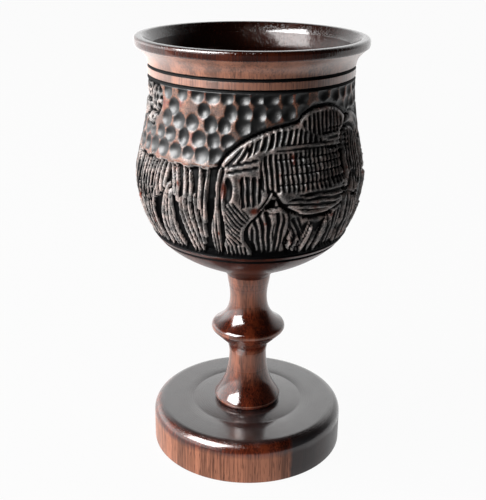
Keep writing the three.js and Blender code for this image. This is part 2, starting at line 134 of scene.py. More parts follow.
class BowlSizes(bpy.types.PropertyGroup):
    """Sizes of the bowl. Heights are stacked upwards from the stem."""
    bottom_radius: length("Bottom radius", "Radius where the bowl sits on the stem", 7.9)
    underside_height: length("Underside", "Height of the plain underside", 15.4)
    underside_radius: length("Underside radius", "Radius where the belly begins", 31.5)
    lower_belly_height: length("Lower belly", "Height from there to the widest place", 23.4)
    belly_radius: length("Belly radius", "Radius at the widest place", 40.3)
    upper_belly_height: length("Upper belly", "Height from the widest place to the neck", 33.5)
    neck_radius: length("Neck radius", "Radius of the band under the lip", 35)
    neck_height: length("Neck", "Height of the band under the lip", 4.4)
    lip_flare_height: length("Lip flare", "Height of the hollow under the lip", 6)
    lip_radius: length("Lip radius", "Radius of the lip", 39.4)
    lip_round: length("Lip round", "Radius of the rounded lip", 1.68)
    wall_at_belly: length("Belly wall", "Wall at the widest place", 5.4)
    wall_at_neck: length("Neck wall", "Wall at the neck", 2.8)
    inner_belly_rise: length("Inner belly rise", "How far the inside's widest place is above", 1)
    floor_height: length("Floor height", "Height of the inside's floor above the stem", 13.6)
    mortise_radius: length("Mortise radius", "Radius of the hole for the stem's tenon", 5.1)
    mortise_depth: length("Mortise depth", "Depth of the hole for the stem's tenon", 8.1)
    score_width: length("Score width", "Width of a scored line", 1.3)
    score_depth: length("Score depth", "Depth of a scored line", 0.8)
    score_floor: length("Score floor", "Width of a scored line's floor", 0.3)
    lower_score: length("Lowest score", "Height of the lowest scored line above the underside", 1.2)
    lower_edge: length("Lower edge", "Height of the carving's lower edge above the underside", 3.4)
    upper_edge: length("Upper edge", "Height of the carving's upper edge above the belly", 0.6)
    upper_score: length("Highest score", "Height of the highest scored line above the belly", 4)


class CarvingSizes(bpy.types.PropertyGroup):
    """Depths and widths of the carver's cuts."""
    row_spacing: length("Row spacing", "Spacing of the carved skin's rows", 0.53)
    scoop_radius: length("Scoop radius", "Radius of a gouge scoop in the sky", 2.95)
    scoop_depth: length("Scoop depth", "Depth of a gouge scoop", 1.25)
    meadow_depth: length("Meadow depth", "Depth of the cuts between strands of grass", 1.9)
    strand_width: length("Strand width", "Width of a strand of grass", 1.85)
    form_drop: length("Form drop", "How far a form falls away at its edge", 1.0)
    form_round: length("Form round", "Width of a form's rounded edge", 3.6)
    moat_width: length("Moat width", "Width of the cut round a form", 1.5)
    moat_depth: length("Moat depth", "Depth of the cut round a form", 2.2)


class GobletColours(bpy.types.PropertyGroup):
    """Colours of the wood and its stain."""
    wood_dark: colour("Dark streaks", "The darkest streaks of the wood", "260d07")
    wood_middle: colour("Wood", "The main colour of the wood", "471a0e")
    wood_light: colour("Light streaks", "The lightest streaks of the wood", "6a2d17")
    heart: colour("Dark heart", "The black heart of the wood on one side of the foot", "1e292d")
    pore: colour("Pores", "The open pores along the grain", "220b06")
    stain: colour("Stain", "The black stain in the carving", "030304")
    # The ridges' pale grey is worn wood with a painted sheen of the varnish.
    ridge_wear_and_sheen: colour("Ridges", "Pale, worn wood on the ridges", "bab5b2")
    rubbed: colour("Rubbed patches", "Bare orange wood where a patch of ridges is rubbed through", "803824")
    bare: colour("Bare wood", "Wood with hardly any varnish, on the neck and round the foot", "a8735a")
    glow: colour("Glow", "Warm glow of the wood under its varnish near a highlight", "c85a30")


class StageSettings(bpy.types.PropertyGroup):
    """Light, floor and camera."""
    window_power: number("Window", "Power of the window that shows in the varnish", 45.0, unit="POWER")
    side_power: number("Side light", "Power of the soft light from the left", 26.0, unit="POWER")
    ambient: number("Ambient", "Strength of the soft light from the backdrop", 0.15)
    backdrop: number("Backdrop", "How bright the backdrop is in reflections", 1.25)
    room: number("Dark room", "How bright the room behind the camera is in reflections", 0.02)
    wall: number("Left wall", "How bright the wall at the left is in reflections", 4.5)
    floor_bounce: number("Floor bounce", "Share of the floor's light that is soft light", 0.8, max=1.0)
    floor_left: number("Floor at left", "How much brighter the floor's left is in reflections", 1.7)
    floor_glow: number("Floor white", "Share of plain white in the floor", 0.96, max=1.0)
    lens: number("Lens", "Focal length of the camera, in millimetres", 64.7)


def sweep(start, end, bend, steps):
    """A cubic stretch of outline. The bend's two handles are shares of the way across and up."""
    (x0, y0), (x3, y3) = start, end
    x1, y1 = x0 + (x3 - x0) * bend[0], y0 + (y3 - y0) * bend[1]
    x2, y2 = x0 + (x3 - x0) * bend[2], y0 + (y3 - y0) * bend[3]
    points = []
    for t in np.linspace(0, 1, steps + 1):
        a, b, c, d = (1 - t) ** 3, 3 * t * (1 - t) ** 2, 3 * t * t * (1 - t), t ** 3
        points.append((a * x0 + b * x1 + c * x2 + d * x3, a * y0 + b * y1 + c * y2 + d * y3))
    return points


def arc(centre, radius, start_degrees, end_degrees, steps):
    """A round stretch of outline about a centre."""
    angles = np.radians(np.linspace(start_degrees, end_degrees, steps + 1))
    return [(centre[0] + radius * math.cos(a), centre[1] + radius * math.sin(a)) for a in angles]


SQUARED = 0.62
SAME_POINT = 1e-7


def squared_arc(centre, radius, start_degrees, end_degrees, steps):
    """A round stretch whose side and top are flattened, with a tighter corner between them."""
    points = []
    for x, y in arc((0, 0), 1, start_degrees, end_degrees, steps):
        points.append((centre[0] + radius * math.copysign(abs(x) ** SQUARED, x),
                       centre[1] + radius * math.copysign(abs(y) ** SQUARED, y)))
    return points


def outline(*stretches):
    """One outline from its stretches, without the points that two stretches share."""
    points = []
    for point in (p for stretch in stretches for p in stretch):
        if not points or math.dist(point, points[-1]) > SAME_POINT:
            points.append(point)
    return points


def lengths_along(points):
    """Lengths along an outline, from its start to each of its points."""
    return np.concatenate([[0], np.cumsum(np.hypot(*np.diff(np.array(points), axis=0).T))])


def even_rows(points, spacing):
    """Points at an even spacing along an outline."""
    along = lengths_along(points)
    places = np.linspace(0, along[-1], round(along[-1] / spacing) + 1)
    radii, heights = np.array(points).T
    return list(zip(np.interp(places, along, radii), np.interp(places, along, heights)))


def spin_outline(bm, points, steps):
    """Turns an outline about the +Z axis, starting at the front: first one sector, then copies of it."""
    verts = [bm.verts.new((0, -radius, height)) for radius, height in points]
    edges = [bm.edges.new(pair) for pair in zip(verts, verts[1:])]
    before = set(bm.faces)
    sector = 2 * math.pi / SECTORS
    axis = {"cent": (0, 0, 0), "axis": (0, 0, 1)}
    bmesh.ops.spin(bm, geom=verts + edges, angle=sector, steps=steps // SECTORS, **axis)
    faces = [face for face in bm.faces if face not in before]
    rims = {edge for face in faces for edge in face.edges}
    corners = {vert for face in faces for vert in face.verts}
    bmesh.ops.spin(bm, geom=faces + list(rims) + list(corners), angle=2 * math.pi - sector,
                   steps=SECTORS - 1, use_duplicate=True, **axis)
    bmesh.ops.remove_doubles(bm, verts=bm.verts, dist=SAME_POINT)


def add_object(name, data):
    """An object in the scene for a mesh, a lamp or a camera."""
    thing = bpy.data.objects.new(name, data)
    bpy.context.scene.collection.objects.link(thing)
    return thing


def add_mesh(bm, name, materials):
    """An object in the scene for what was built, with its materials."""
    mesh = bpy.data.meshes.new(name)
    bm.to_mesh(mesh)
    bm.free()
    for material in materials:
        mesh.materials.append(material)
    return add_object(name, mesh)


SHARP_CORNER = math.radians(32)
# Places of the bowl's materials in its list.
TURNED, FIGURE, SCOOPED, GROOVED, NECK, LIP = range(6)


def finish_piece(bm, node, materials):
    """Makes the piece that stands for a node: faces outwards, turned corners sharp, on its body."""
    bmesh.ops.recalc_face_normals(bm, faces=bm.faces)
    for face in bm.faces:
        face.smooth = True
    for edge in bm.edges:
        turned = any(face.material_index in (TURNED, NECK, LIP) for face in edge.link_faces)
        edge.smooth = not (turned and edge.calc_face_angle(0) > SHARP_CORNER)
    piece = add_mesh(bm, f"turned_{node}", materials)
    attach(piece, BODY)
    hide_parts(node)


def add_node(tree, kind, inputs, output=0):
    """Adds a node, sets or joins its inputs, properties and ramp stops, and gives one of its outputs."""
    node = tree.nodes.new(f"ShaderNode{kind}")
    for name, value in inputs.items():
        if isinstance(value, bpy.types.NodeSocket):
            tree.links.new(value, node.inputs[name])
        elif name == "stops":
            elements = node.color_ramp.elements
            for place, _ in value[2:]:
                elements.new(place)
            for element, (place, stop_colour) in zip(elements, value):
                element.position = place
                element.color = stop_colour
        elif isinstance(name, int) or name in node.inputs:
            node.inputs[name].default_value = value
        else:
            setattr(node, name, value)
    return node.outputs[output] if node.outputs else None


# Sockets of a Mix node that mixes colours, and of one that mixes numbers.
MIX_A, MIX_B, MIX_RESULT = 6, 7, 2
NUMBER_A, NUMBER_B = 2, 3


def grey(value):
    """A grey of that linear value, with alpha."""
    return (value, value, value, 1.0)


def blend(first, second, share):
    """A colour between two colours."""
    return [a + (b - a) * share for a, b in zip(first, second)]


def node_adder(owner):
    """What adds nodes to the emptied node tree of a new material or world."""
    owner.use_nodes = True
    owner.node_tree.nodes.clear()
    return partial(add_node, owner.node_tree)


def new_material(name):
    """A material, and what adds nodes to it."""
    material = bpy.data.materials.new(name)
    return material, node_adder(material)


def shade(add, settings):
    """Ends a material with its shader, and all that is set on it or joined to it."""
    shader = add("BsdfPrincipled", settings)
    add("OutputMaterial", {"Surface": shader})


# Grain: widths and lengths of streaks and pores, and the width of the slow bands of tone.
STREAK_WIDTH, STREAK_LENGTH = 0.55 * MM, 20 * MM
PORE_WIDTH, PORE_LENGTH = 0.3 * MM, 5 * MM
BAND_WIDTH, BAND_SHARE = 7 * MM, 0.55
PORES_FROM, PORES_TO, PORE_STAIN = 0.58, 0.7, 0.7
# Tones of the grain from dark to light: colour, place on the scale, and the share of the wear that it takes.
GRAIN_TONES = (("wood_dark", 0.41, 0.35), ("wood_middle", 0.5, 0.75), ("wood_light", 0.59, 1.0))
# Where in the wood each piece was cut from.
MIDDLE_CUT, FOOT_CUT, CARVED_CUT = (0, 0, 0), (20 * MM, 10 * MM, 0), (30 * MM, 0, 0)
CLEAR_VARNISH = {"Roughness": 0.5, "IOR": 1.5, "Coat IOR": 1.5}


def add_wood(add, colours, cut, worn=0.0):
    """Place, colour and pore height of a hardwood with upright grain, worn to bare wood or not."""
    place = add("TexCoord", {}, "Object")
    along = add("Mapping", {"Location": cut, "Scale": (1, 1, STREAK_WIDTH / STREAK_LENGTH),
                            "Vector": place})
    streaks = add("TexNoise", {"Scale": 1 / STREAK_WIDTH, "Detail": 3.0, "Roughness": 0.55,
                               "Vector": along})
    bands = add("TexNoise", {"Scale": 1 / BAND_WIDTH, "Detail": 2.0, "Vector": along})
    tone = add("Mix", {"data_type": "FLOAT", 0: BAND_SHARE, NUMBER_A: streaks, NUMBER_B: bands})
    stops = [(stop, blend(getattr(colours, name), colours.bare, worn * share))
             for name, stop, share in GRAIN_TONES]
    wood = add("ValToRGB", {"stops": stops, "Fac": tone})
    lie = add("Mapping", {"Location": cut, "Scale": (1, 1, PORE_WIDTH / PORE_LENGTH), "Vector": place})
    pores = add("TexNoise", {"Scale": 1 / PORE_WIDTH, "Detail": 1.0, "Vector": lie})
    depth = add("ValToRGB", {"stops": [(PORES_FROM, grey(0)), (PORES_TO, grey(1))], "Fac": pores})
    stained = add("Math", {"operation": "MULTIPLY", 0: depth, 1: PORE_STAIN})
    tinted = add("Mix", {"data_type": "RGBA", 0: stained, MIX_A: wood, MIX_B: colours.pore}, MIX_RESULT)
    height = add("Math", {"operation": "MULTIPLY", 0: depth, 1: -1.0})
    return place, tinted, height


# Paler wood on upright faces is painted light, and darker wood on the flares is painted shade; the tilt of
# each face sets the mix.
STEM_PAINTED_LIGHT = 0.4
STEM_DULL, STEM_GLOSS = 0.34, 0.09
UPRIGHT, FLARED = 0.08, 0.4


def polished_hardwood(colours):
    """Red-brown hardwood, turned and varnished: soft on the stem and glossy on the flares, with painted light
    in paler wood on upright faces and painted shade in darker wood on the flares.
    """
    material, add = new_material("varnished_hardwood")
    _, wood, pores = add_wood(add, colours, MIDDLE_CUT)
    _, worn, _ = add_wood(add, colours, MIDDLE_CUT, STEM_PAINTED_LIGHT)
    facing = add("NewGeometry", {}, "Normal")
    tilt = add("SeparateXYZ", {"Vector": facing}, "Z")
    steep = add("Math", {"operation": "ABSOLUTE", 0: tilt})
    flared = add("MapRange", {"From Min": UPRIGHT, "From Max": FLARED, "Value": steep})
    # Painted light and shade: paler wood where the face stands upright, darker wood where it flares.
    base = add("Mix", {"data_type": "RGBA", 0: flared, MIX_A: worn, MIX_B: wood}, MIX_RESULT)
    dull = add("MapRange", {"To Min": STEM_DULL, "To Max": STEM_GLOSS, "Value": flared})
    bump = add("Bump", {"Strength": 0.1, "Distance": 0.06 * MM, "Height": pores})
    shade(add, {
        **CLEAR_VARNISH, "Specular IOR Level": 0.12, "Specular Tint": colours.glow, "Coat Weight": 1.0,
        "Base Color": base, "Coat Roughness": dull, "Normal": bump, "Coat Normal": bump})
    return material


NECK_WORN = 0.76
NECK_LINE, NECK_LINE_LENGTH = 0.35 * MM, 12 * MM


def brushed_hardwood(colours):
    """The hardwood of the neck, with a thin varnish over fine turning lines: a soft, greyish sheen."""
    material, add = new_material("brushed_hardwood")
    place, wood, pores = add_wood(add, colours, MIDDLE_CUT, NECK_WORN)
    stretch = NECK_LINE / NECK_LINE_LENGTH
    along = add("Mapping", {"Scale": (stretch, stretch, 1), "Vector": place})
    lines = add("TexNoise", {"Scale": 1 / NECK_LINE, "Detail": 2.0, "Vector": along})
    height = add("Math", {"operation": "ADD", 0: lines, 1: pores})
    bump = add("Bump", {"Strength": 0.3, "Distance": 0.12 * MM, "Height": height})
    shade(add, {**CLEAR_VARNISH, "Roughness": 0.45, "Coat Weight": 1.0, "Coat Roughness": 0.3,
                "Base Color": wood, "Normal": bump, "Coat Normal": bump})
    return material


# Share of near-black in the cup's wood: painted shade inside the cup, under the bowl and on the lip.
CUP_PAINTED_SHADE = 0.66
DENT_WIDTH = 1.2 * MM
INSIDE_GLOSS, INSIDE_DULLNESS = 0.36, 0.15
LIP_GLOSS, LIP_DULLNESS = 1.0, 0.08


def soaked_hardwood(colours, name, gloss, dullness):
    """Wood of the cup, painted nearly black as shade inside, under the bowl and on the lip: soft inside and
    glossy on the lip.
    """
    material, add = new_material(name)
    place, wood, pores = add_wood(add, colours, MIDDLE_CUT)
    # Painted shade: the wood is mixed towards the pores' near-black.
    dark = add("Mix", {"data_type": "RGBA", 0: CUP_PAINTED_SHADE, MIX_A: wood, MIX_B: colours.pore}, MIX_RESULT)
    dents = add("TexNoise", {"Scale": 1 / DENT_WIDTH, "Detail": 3.0, "Vector": place})
    height = add("Math", {"operation": "ADD", 0: dents, 1: pores})
    bump = add("Bump", {"Strength": 0.3, "Distance": 0.1 * MM, "Height": height})
    shade(add, {
        **CLEAR_VARNISH, "Specular IOR Level": 0.07, "Specular Tint": colours.glow, "Coat Weight": gloss,
        "Coat Roughness": dullness, "Base Color": dark, "Coat Normal": bump})
    return material


# The foot: a dark heart at its right, bare wood round its side, and wax, turning marks and painted shade
# (darker wood) on its top.
HEART_EDGE, HEART_BLUR, HEART_DARK = 15.5 * MM, 0.7 * MM, 0.95
WANDER, WANDER_WIDTH = 3 * MM, 9 * MM
BARE_BELOW, BARE_BLUR = 11 * MM, 1.2 * MM
SIDE_WORN, SIDE_COAT = 0.67, 0.3
WAXED_FROM, VARNISH_IOR, WAX_IOR = 0.8, 1.5, 2.3
# Share of the heart's near-black on the foot's upward faces: painted shade on the top.
TOP_PAINTED_SHADE = 0.88
SCUFF_WIDTH, SCUFF_FROM, SCUFF_TO = 5 * MM, 0.35, 0.65
SCUFF_GLOSS, SCUFF_DULL = 0.1, 0.22
TURNING_MARK, RINGS_RUBBED, RING_HEIGHT = 0.9 * MM, 0.93, 0.6
# A wave repeats about every 0.314 of its scale.
WAVE_REPEAT = 0.314


def satin_hardwood(colours):
    """The hardwood of the foot: scuffed varnish and painted shade on top, bare wood round the side, a black
    heart.
    """
    material, add = new_material("satin_hardwood")
    place, wood, pores = add_wood(add, colours, FOOT_CUT)
    _, worn, _ = add_wood(add, colours, FOOT_CUT, SIDE_WORN)
    facing = add("NewGeometry", {}, "Normal")
    up = add("SeparateXYZ", {"Vector": facing}, "Z")
    # Painted shade: upward faces are darkened towards the heart's colour.
    top_painted_shade = add("MapRange", {"From Min": WAXED_FROM, "To Max": TOP_PAINTED_SHADE, "Value": up})
    top = add("Mix", {"data_type": "RGBA", 0: top_painted_shade, MIX_A: wood, MIX_B: colours.heart}, MIX_RESULT)
    split = add("SeparateXYZ", {"Vector": place}).node.outputs
    wander = add("TexNoise", {"Scale": 1 / WANDER_WIDTH, "Detail": 3.0, "Vector": place})
    shift = add("Math", {"operation": "MULTIPLY_ADD", 0: wander, 1: WANDER, 2: -WANDER / 2})
    level = add("Math", {"operation": "ADD", 0: split["Z"], 1: shift})
    varnish = add("MapRange", {"From Min": BARE_BELOW - BARE_BLUR, "From Max": BARE_BELOW + BARE_BLUR,
                               "Value": level})
    body = add("Mix", {"data_type": "RGBA", 0: varnish, MIX_A: worn, MIX_B: top}, MIX_RESULT)
    across = add("Math", {"operation": "ADD", 0: split["X"], 1: shift})
    heart = add("MapRange", {"From Min": HEART_EDGE - HEART_BLUR, "From Max": HEART_EDGE + HEART_BLUR,
                             "To Max": HEART_DARK, "Value": across})
    base = add("Mix", {"data_type": "RGBA", 0: heart, MIX_A: body, MIX_B: colours.heart}, MIX_RESULT)
    film = add("MapRange", {"To Min": SIDE_COAT, "To Max": 1.0, "Value": varnish})
    scuffs = add("TexNoise", {"Scale": 1 / SCUFF_WIDTH, "Detail": 4.0, "Vector": place})
    dull = add("MapRange", {"From Min": SCUFF_FROM, "From Max": SCUFF_TO, "To Min": SCUFF_GLOSS,
                            "To Max": SCUFF_DULL, "Value": scuffs})
    rings = add("TexWave", {
        "wave_type": "RINGS", "rings_direction": "Z", "Detail": 3.0, "Distortion": 3.0,
        "Scale": WAVE_REPEAT / TURNING_MARK, "Vector": place}, "Fac")
    marks = add("Math", {"operation": "MULTIPLY_ADD", 0: rings, 1: RING_HEIGHT, 2: pores})
    rubbed = add("MapRange", {"To Min": RINGS_RUBBED, "To Max": 1.0, "Value": rings})
    coat = add("Math", {"operation": "MULTIPLY", 0: film, 1: rubbed})
    bump = add("Bump", {"Strength": 0.25, "Distance": 0.06 * MM, "Height": marks})
    wax = add("MapRange", {"From Min": WAXED_FROM, "To Min": VARNISH_IOR, "To Max": WAX_IOR, "Value": up})
    shade(add, {
        **CLEAR_VARNISH, "Specular IOR Level": 0.2, "Specular Tint": colours.glow, "Base Color": base,
        "Coat Weight": coat, "Coat Roughness": dull, "Coat IOR": wax, "Normal": bump, "Coat Normal": bump})
    return material


def blackened_groove(colours):
    """Scored lines, filled with black stain: dull, so that they stay black from every side."""
    material, add = new_material("blackened_groove")
    shade(add, {"Base Color": colours.stain, "Roughness": 0.7, "Specular IOR Level": 0.1})
    return material


# Kept on the carved skin: how far a place stands above its surroundings, in millimetres, and
# how far it is rubbed through to orange wood.
RELIEF, RUBBED = "relief", "rubbed"
RUB_PATCH = 4 * MM
PATCH_FROM, PATCH_TO, PATCH_LEFT = 0.38, 0.56, 0.35
TAN_FROM, TAN_TO, TANNED = 0.42, 0.6, 0.3
TOOL_CHATTER = 0.5 * MM
PALE_SHARE = 0.85

# Finishes of the carving. Hatched figures hold a thick stain. Gouge scoops are cut clean and shine more.
# Pale is the colour of worn wood, and on the figures a pale grey that is also painted sheen of the varnish.
# Bare and shine are the reliefs from and to which the wood comes through the stain and the varnish shines.
# Wear is the share of stain that comes off, dull the share of varnish that the cuts lack, and orange the
# range of the patches that are rubbed through.
FIGURE_FINISH = {
    "pale": "ridge_wear_and_sheen", "bare": (0.04, 0.3), "wear": 1.0, "shine": (0.05, 0.35), "dull": 0.97,
    "orange": (0.66, 0.74), "flecks": 0.5, "bump": 0.35,
    "specular": 0.04, "coat": 0.65, "coat_roughness": 0.27,
}
SCOOP_FINISH = {
    "pale": "bare", "bare": (0.02, 0.24), "wear": 0.75, "shine": (-0.6, 0.0), "dull": 0.3,
    "orange": (0.56, 0.66), "flecks": 0.4, "bump": 0.2,
    "specular": 0.1, "coat": 0.75, "coat_roughness": 0.42,
}


def carved_hardwood(colours, name, finish):
    """Carved hardwood: black stain in the cuts, and pale or orange wood where ridges are rubbed bare; the
    figures' pale grey is also painted sheen.
    """
    material, add = new_material(name)
    place, wood, pores = add_wood(add, colours, CARVED_CUT)
    relief = add("Attribute", {"attribute_name": RELIEF}, "Fac")
    bare_from, bare_to = finish["bare"]
    bare = add("MapRange", {"From Min": bare_from, "From Max": bare_to, "To Max": finish["wear"],
                            "Value": relief})
    patches = add("TexNoise", {"Scale": 1 / RUB_PATCH, "Detail": 4.0, "Vector": place})
    left = add("ValToRGB", {"stops": [(PATCH_FROM, grey(PATCH_LEFT)), (PATCH_TO, grey(1))],
                            "Fac": patches})
    chatter = add("TexNoise", {"Scale": 1 / TOOL_CHATTER, "Detail": 2.0, "Vector": place})
    flecks = add("MapRange", {"From Min": PATCH_FROM, "From Max": PATCH_TO, "To Min": finish["flecks"],
                              "Value": chatter})
    ragged = add("Math", {"operation": "MULTIPLY", 0: bare, 1: flecks})
    cleared = add("Math", {"operation": "MULTIPLY", 0: ragged, 1: left})
    orange_from, orange_to = finish["orange"]
    orange = add("MapRange", {"From Min": orange_from, "From Max": orange_to, "Value": patches})
    spots = add("Attribute", {"attribute_name": RUBBED}, "Fac")
    through = add("Math", {"operation": "MAXIMUM", 0: orange, 1: spots})
    tanned = add("MapRange", {"From Min": TAN_FROM, "From Max": TAN_TO, "To Max": TANNED,
                              "Value": patches})
    # On the figures the pale colour is the ridges' grey, which paints the varnish's sheen as well as wear.
    pale = add("Mix", {"data_type": "RGBA", 0: tanned, MIX_A: getattr(colours, finish["pale"]),
                       MIX_B: colours.bare}, MIX_RESULT)
    worn = add("Mix", {"data_type": "RGBA", 0: PALE_SHARE, MIX_A: wood, MIX_B: pale}, MIX_RESULT)
    ridge_wear_and_sheen = add("Mix", {"data_type": "RGBA", 0: through, MIX_A: worn, MIX_B: colours.rubbed}, MIX_RESULT)
    base = add("Mix", {"data_type": "RGBA", 0: cleared, MIX_A: colours.stain, MIX_B: ridge_wear_and_sheen}, MIX_RESULT)
    shine_from, shine_to = finish["shine"]
    coat = add("MapRange", {
        "From Min": shine_from, "From Max": shine_to, "To Min": (1 - finish["dull"]) * finish["coat"],
        "To Max": finish["coat"], "Value": relief})
    height = add("Math", {"operation": "ADD", 0: chatter, 1: pores})
    bump = add("Bump", {"Strength": finish["bump"], "Distance": 0.12 * MM, "Height": height})
    shade(add, {
        **CLEAR_VARNISH, "Specular IOR Level": finish["specular"], "Coat Roughness": finish["coat_roughness"],
        "Base Color": base, "Coat Weight": coat, "Normal": bump, "Coat Normal": bump})
    return material


RING_HALF, TOP_MARGIN, SIDE_ROWS = 0.35 * MM, 4 * MM, 2.5 * MM


class GOBLET_OT_foot(bpy.types.Operator):
    """Turn the thick disc that the goblet stands on"""
    bl_idname = "goblet.foot"
    bl_label = "Foot"

    def execute(self, context):
        s = context.scene.goblet_foot
        top = s.thickness
        edge_centre = (s.radius - s.edge_round, top - s.edge_round)
        points = outline(
            [(0, s.hollow_depth), (s.hollow_radius - s.hollow_slope, s.hollow_depth)],
            [(s.hollow_radius, 0), (s.radius - s.bottom_chamfer, 0)],
            arc((s.radius - s.bottom_chamfer, s.bottom_chamfer), s.bottom_chamfer, -90, 0, ROUND_STEPS // 2),
            even_rows([(s.radius, s.bottom_chamfer), (s.radius, edge_centre[1])], SIDE_ROWS),
            arc(edge_centre, s.edge_round, 0, 90, 2 * ROUND_STEPS),
            [(s.ring_radius + TOP_MARGIN, top), (s.ring_radius + RING_HALF, top)],
            [(s.ring_radius, top - s.ring_depth)],
            [(s.ring_radius - RING_HALF, top), (s.mortise_radius + TOP_MARGIN, top)],
            [(s.mortise_radius, top), (s.mortise_radius, top - s.mortise_depth)],
            [(0, top - s.mortise_depth)],
        )
        bm = bmesh.new()
        spin_outline(bm, points, TURNED_STEPS)
        finish_piece(bm, "foot", [satin_hardwood(context.scene.goblet_colours)])
        return {"FINISHED"}


BELL_EDGE_BEND = (0.55, 0.1, 1, 0.5)
BELL_FLARE_BEND = (0.2, 0.14, 0.95, 0.34)
LOWER_NECK_BEND = (0, 0.45, 0.45, 0.82)
KNOP_LOWER_BEND = (0.3, 0.3, 0.7, 0.62)
KNOP_UPPER_BEND = (0.62, 0.22, 1, 0.5)
UPPER_NECK_BEND = (0, 0.4, 0.8, 0.65)
KNOP_NOSE_DEGREES = (-60, 55)


class GOBLET_OT_stem(bpy.types.Operator):
    """Turn the stem with its bell, its knop and a tenon at each end"""
    bl_idname = "goblet.stem"
    bl_label = "Stem"

    def execute(self, context):
        s = context.scene.goblet_stem
        seat = context.scene.goblet_foot.thickness
        bell_edge = (s.bell_radius, seat + s.bell_edge_height)
        lower_waist = (s.lower_waist_radius, bell_edge[1] + s.bell_flare_height)
        knop_base = (s.knop_base_radius, lower_waist[1] + s.lower_neck_height)
        nose_centre = (s.knop_radius - s.knop_nose_round, knop_base[1] + s.knop_lower_height)
        nose = arc(nose_centre, s.knop_nose_round, *KNOP_NOSE_DEGREES, 2 * ROUND_STEPS)
        upper_waist = (s.upper_waist_radius, nose_centre[1] + s.knop_upper_height)
        top = (s.top_radius, upper_waist[1] + s.upper_neck_height)
        low, high = STEM_LOW.z, STEM_HIGH.z
        points = outline(
            [(0, low), (s.foot_tenon_radius - s.tenon_chamfer, low)],
            [(s.foot_tenon_radius, low + s.tenon_chamfer), (s.foot_tenon_radius, seat)],
            sweep((s.seat_radius, seat), bell_edge, BELL_EDGE_BEND, ROUND_STEPS),
            sweep(bell_edge, lower_waist, BELL_FLARE_BEND, 2 * CURVE_STEPS),
            sweep(lower_waist, knop_base, LOWER_NECK_BEND, CURVE_STEPS),
            sweep(knop_base, nose[0], KNOP_LOWER_BEND, ROUND_STEPS),
            nose,
            sweep(nose[-1], upper_waist, KNOP_UPPER_BEND, 2 * CURVE_STEPS),
            sweep(upper_waist, top, UPPER_NECK_BEND, CURVE_STEPS),
            [(s.bowl_tenon_radius, top[1]), (s.bowl_tenon_radius, high - s.tenon_chamfer)],
            [(s.bowl_tenon_radius - s.tenon_chamfer, high), (0, high)],
        )
        bm = bmesh.new()
        spin_outline(bm, points, TURNED_STEPS)
        finish_piece(bm, "stem", [polished_hardwood(context.scene.goblet_colours)])
        return {"FINISHED"}


# The carver's sheet is the carved skin unrolled, in millimetres. Around is measured along the
# widest place from the front, to the right as seen from the front. Up is measured along the
# outline, and the carving's lower edge is a little above its zero.
LOWER_EDGE_UP = 1.1


class Sheet:
    """The carved skin on a grid: depth below the turned surface, figure or sky, and where it is rubbed."""

    def __init__(self, around, up, girth):
        self.rows, self.columns = len(up), len(around)
        around, up = np.meshgrid(around, up)
        self.around, self.up = around.ravel(), up.ravel()
        self.girth = girth
        self.depth = np.zeros(around.size)
        self.figure = np.zeros(around.size)
        self.rubbed = np.zeros(around.size)
        self.relief = np.zeros(around.size)

    def from_place(self, around, up, scale=1.0):
        """Coordinates as seen from a place on the sheet, the short way round."""
        across = (self.around - around + self.girth / 2) % self.girth - self.girth / 2
        return across / scale, (self.up - up) / scale

    def levelled(self, passes):
        """The depth with its small cuts levelled out."""
        grid = self.depth.reshape(self.rows, self.columns)
        for _ in range(passes):
            grid = (np.roll(grid, 1, 1) + 2 * grid + np.roll(grid, -1, 1)) / 4
            higher = np.concatenate([grid[1:], grid[-1:]])
            lower = np.concatenate([grid[:1], grid[:-1]])
            grid = (higher + 2 * grid + lower) / 4
        return grid.ravel()


def smooth_step(low, high, value):
    """0 below low, 1 above high, and a smooth slope between."""
    t = np.clip((value - low) / (high - low), 0, 1)
    return t * t * (3 - 2 * t)


# Waves whose sum looks uneven: pace around, pace up and start.
WOBBLE_WAVES = ((0.83, 0.37, 0.6), (-0.41, 0.91, 2.1), (0.23, -0.59, 4.0))
WOBBLE_RANGE = 2.2
NOT_ZERO = 1e-12


def wobble(x, y):
    """A slow, hand-made unevenness of about plus or minus one."""
    return sum(np.sin(around * x + up * y + start) for around, up, start in WOBBLE_WAVES) / WOBBLE_RANGE


def curved(points, closed=False, steps=5):
    """A smooth line through a few points."""
    p = np.array(points, float)
    if closed:
        p = np.concatenate([p[-1:], p, p[:2]])
    else:
        p = np.concatenate([2 * p[:1] - p[1:2], p, 2 * p[-1:] - p[-2:-1]])
    line = []
    for before, start, end, after in zip(p, p[1:], p[2:], p[3:]):
        for t in np.linspace(0, 1, steps, endpoint=False):
            line.append(0.5 * (2 * start + (end - before) * t
                               + (2 * before - 5 * start + 4 * end - after) * t * t
                               + (3 * start - before - 3 * end + after) * t ** 3))
    line.append(p[1] if closed else p[-2])
    return np.array(line)


def distance_to(x, y, line):
    """How far each place is from a line."""
    nearest = np.full(x.shape, np.inf)
    for (x0, y0), (x1, y1) in zip(line, line[1:]):
        dx, dy = x1 - x0, y1 - y0
        t = np.clip(((x - x0) * dx + (y - y0) * dy) / max(dx * dx + dy * dy, NOT_ZERO), 0, 1)
        nearest = np.minimum(nearest, np.hypot(x - x0 - t * dx, y - y0 - t * dy))
    return nearest


def inside(x, y, line):
    """Whether each place is inside a closed line."""
    crossings = np.zeros(x.shape, bool)
    for (x0, y0), (x1, y1) in zip(line, line[1:]):
        crosses = (y0 > y) != (y1 > y)
        crossings ^= crosses & (x < (x1 - x0) * (y - y0) / (y1 - y0 + NOT_ZERO) + x0)
    return crossings


def near(x, y, line, reach):
    """Indices of the places within reach of a line's box."""
    low, high = line.min(0) - reach, line.max(0) + reach
    return np.flatnonzero((x > low[0]) & (x < high[0]) & (y > low[1]) & (y < high[1]))


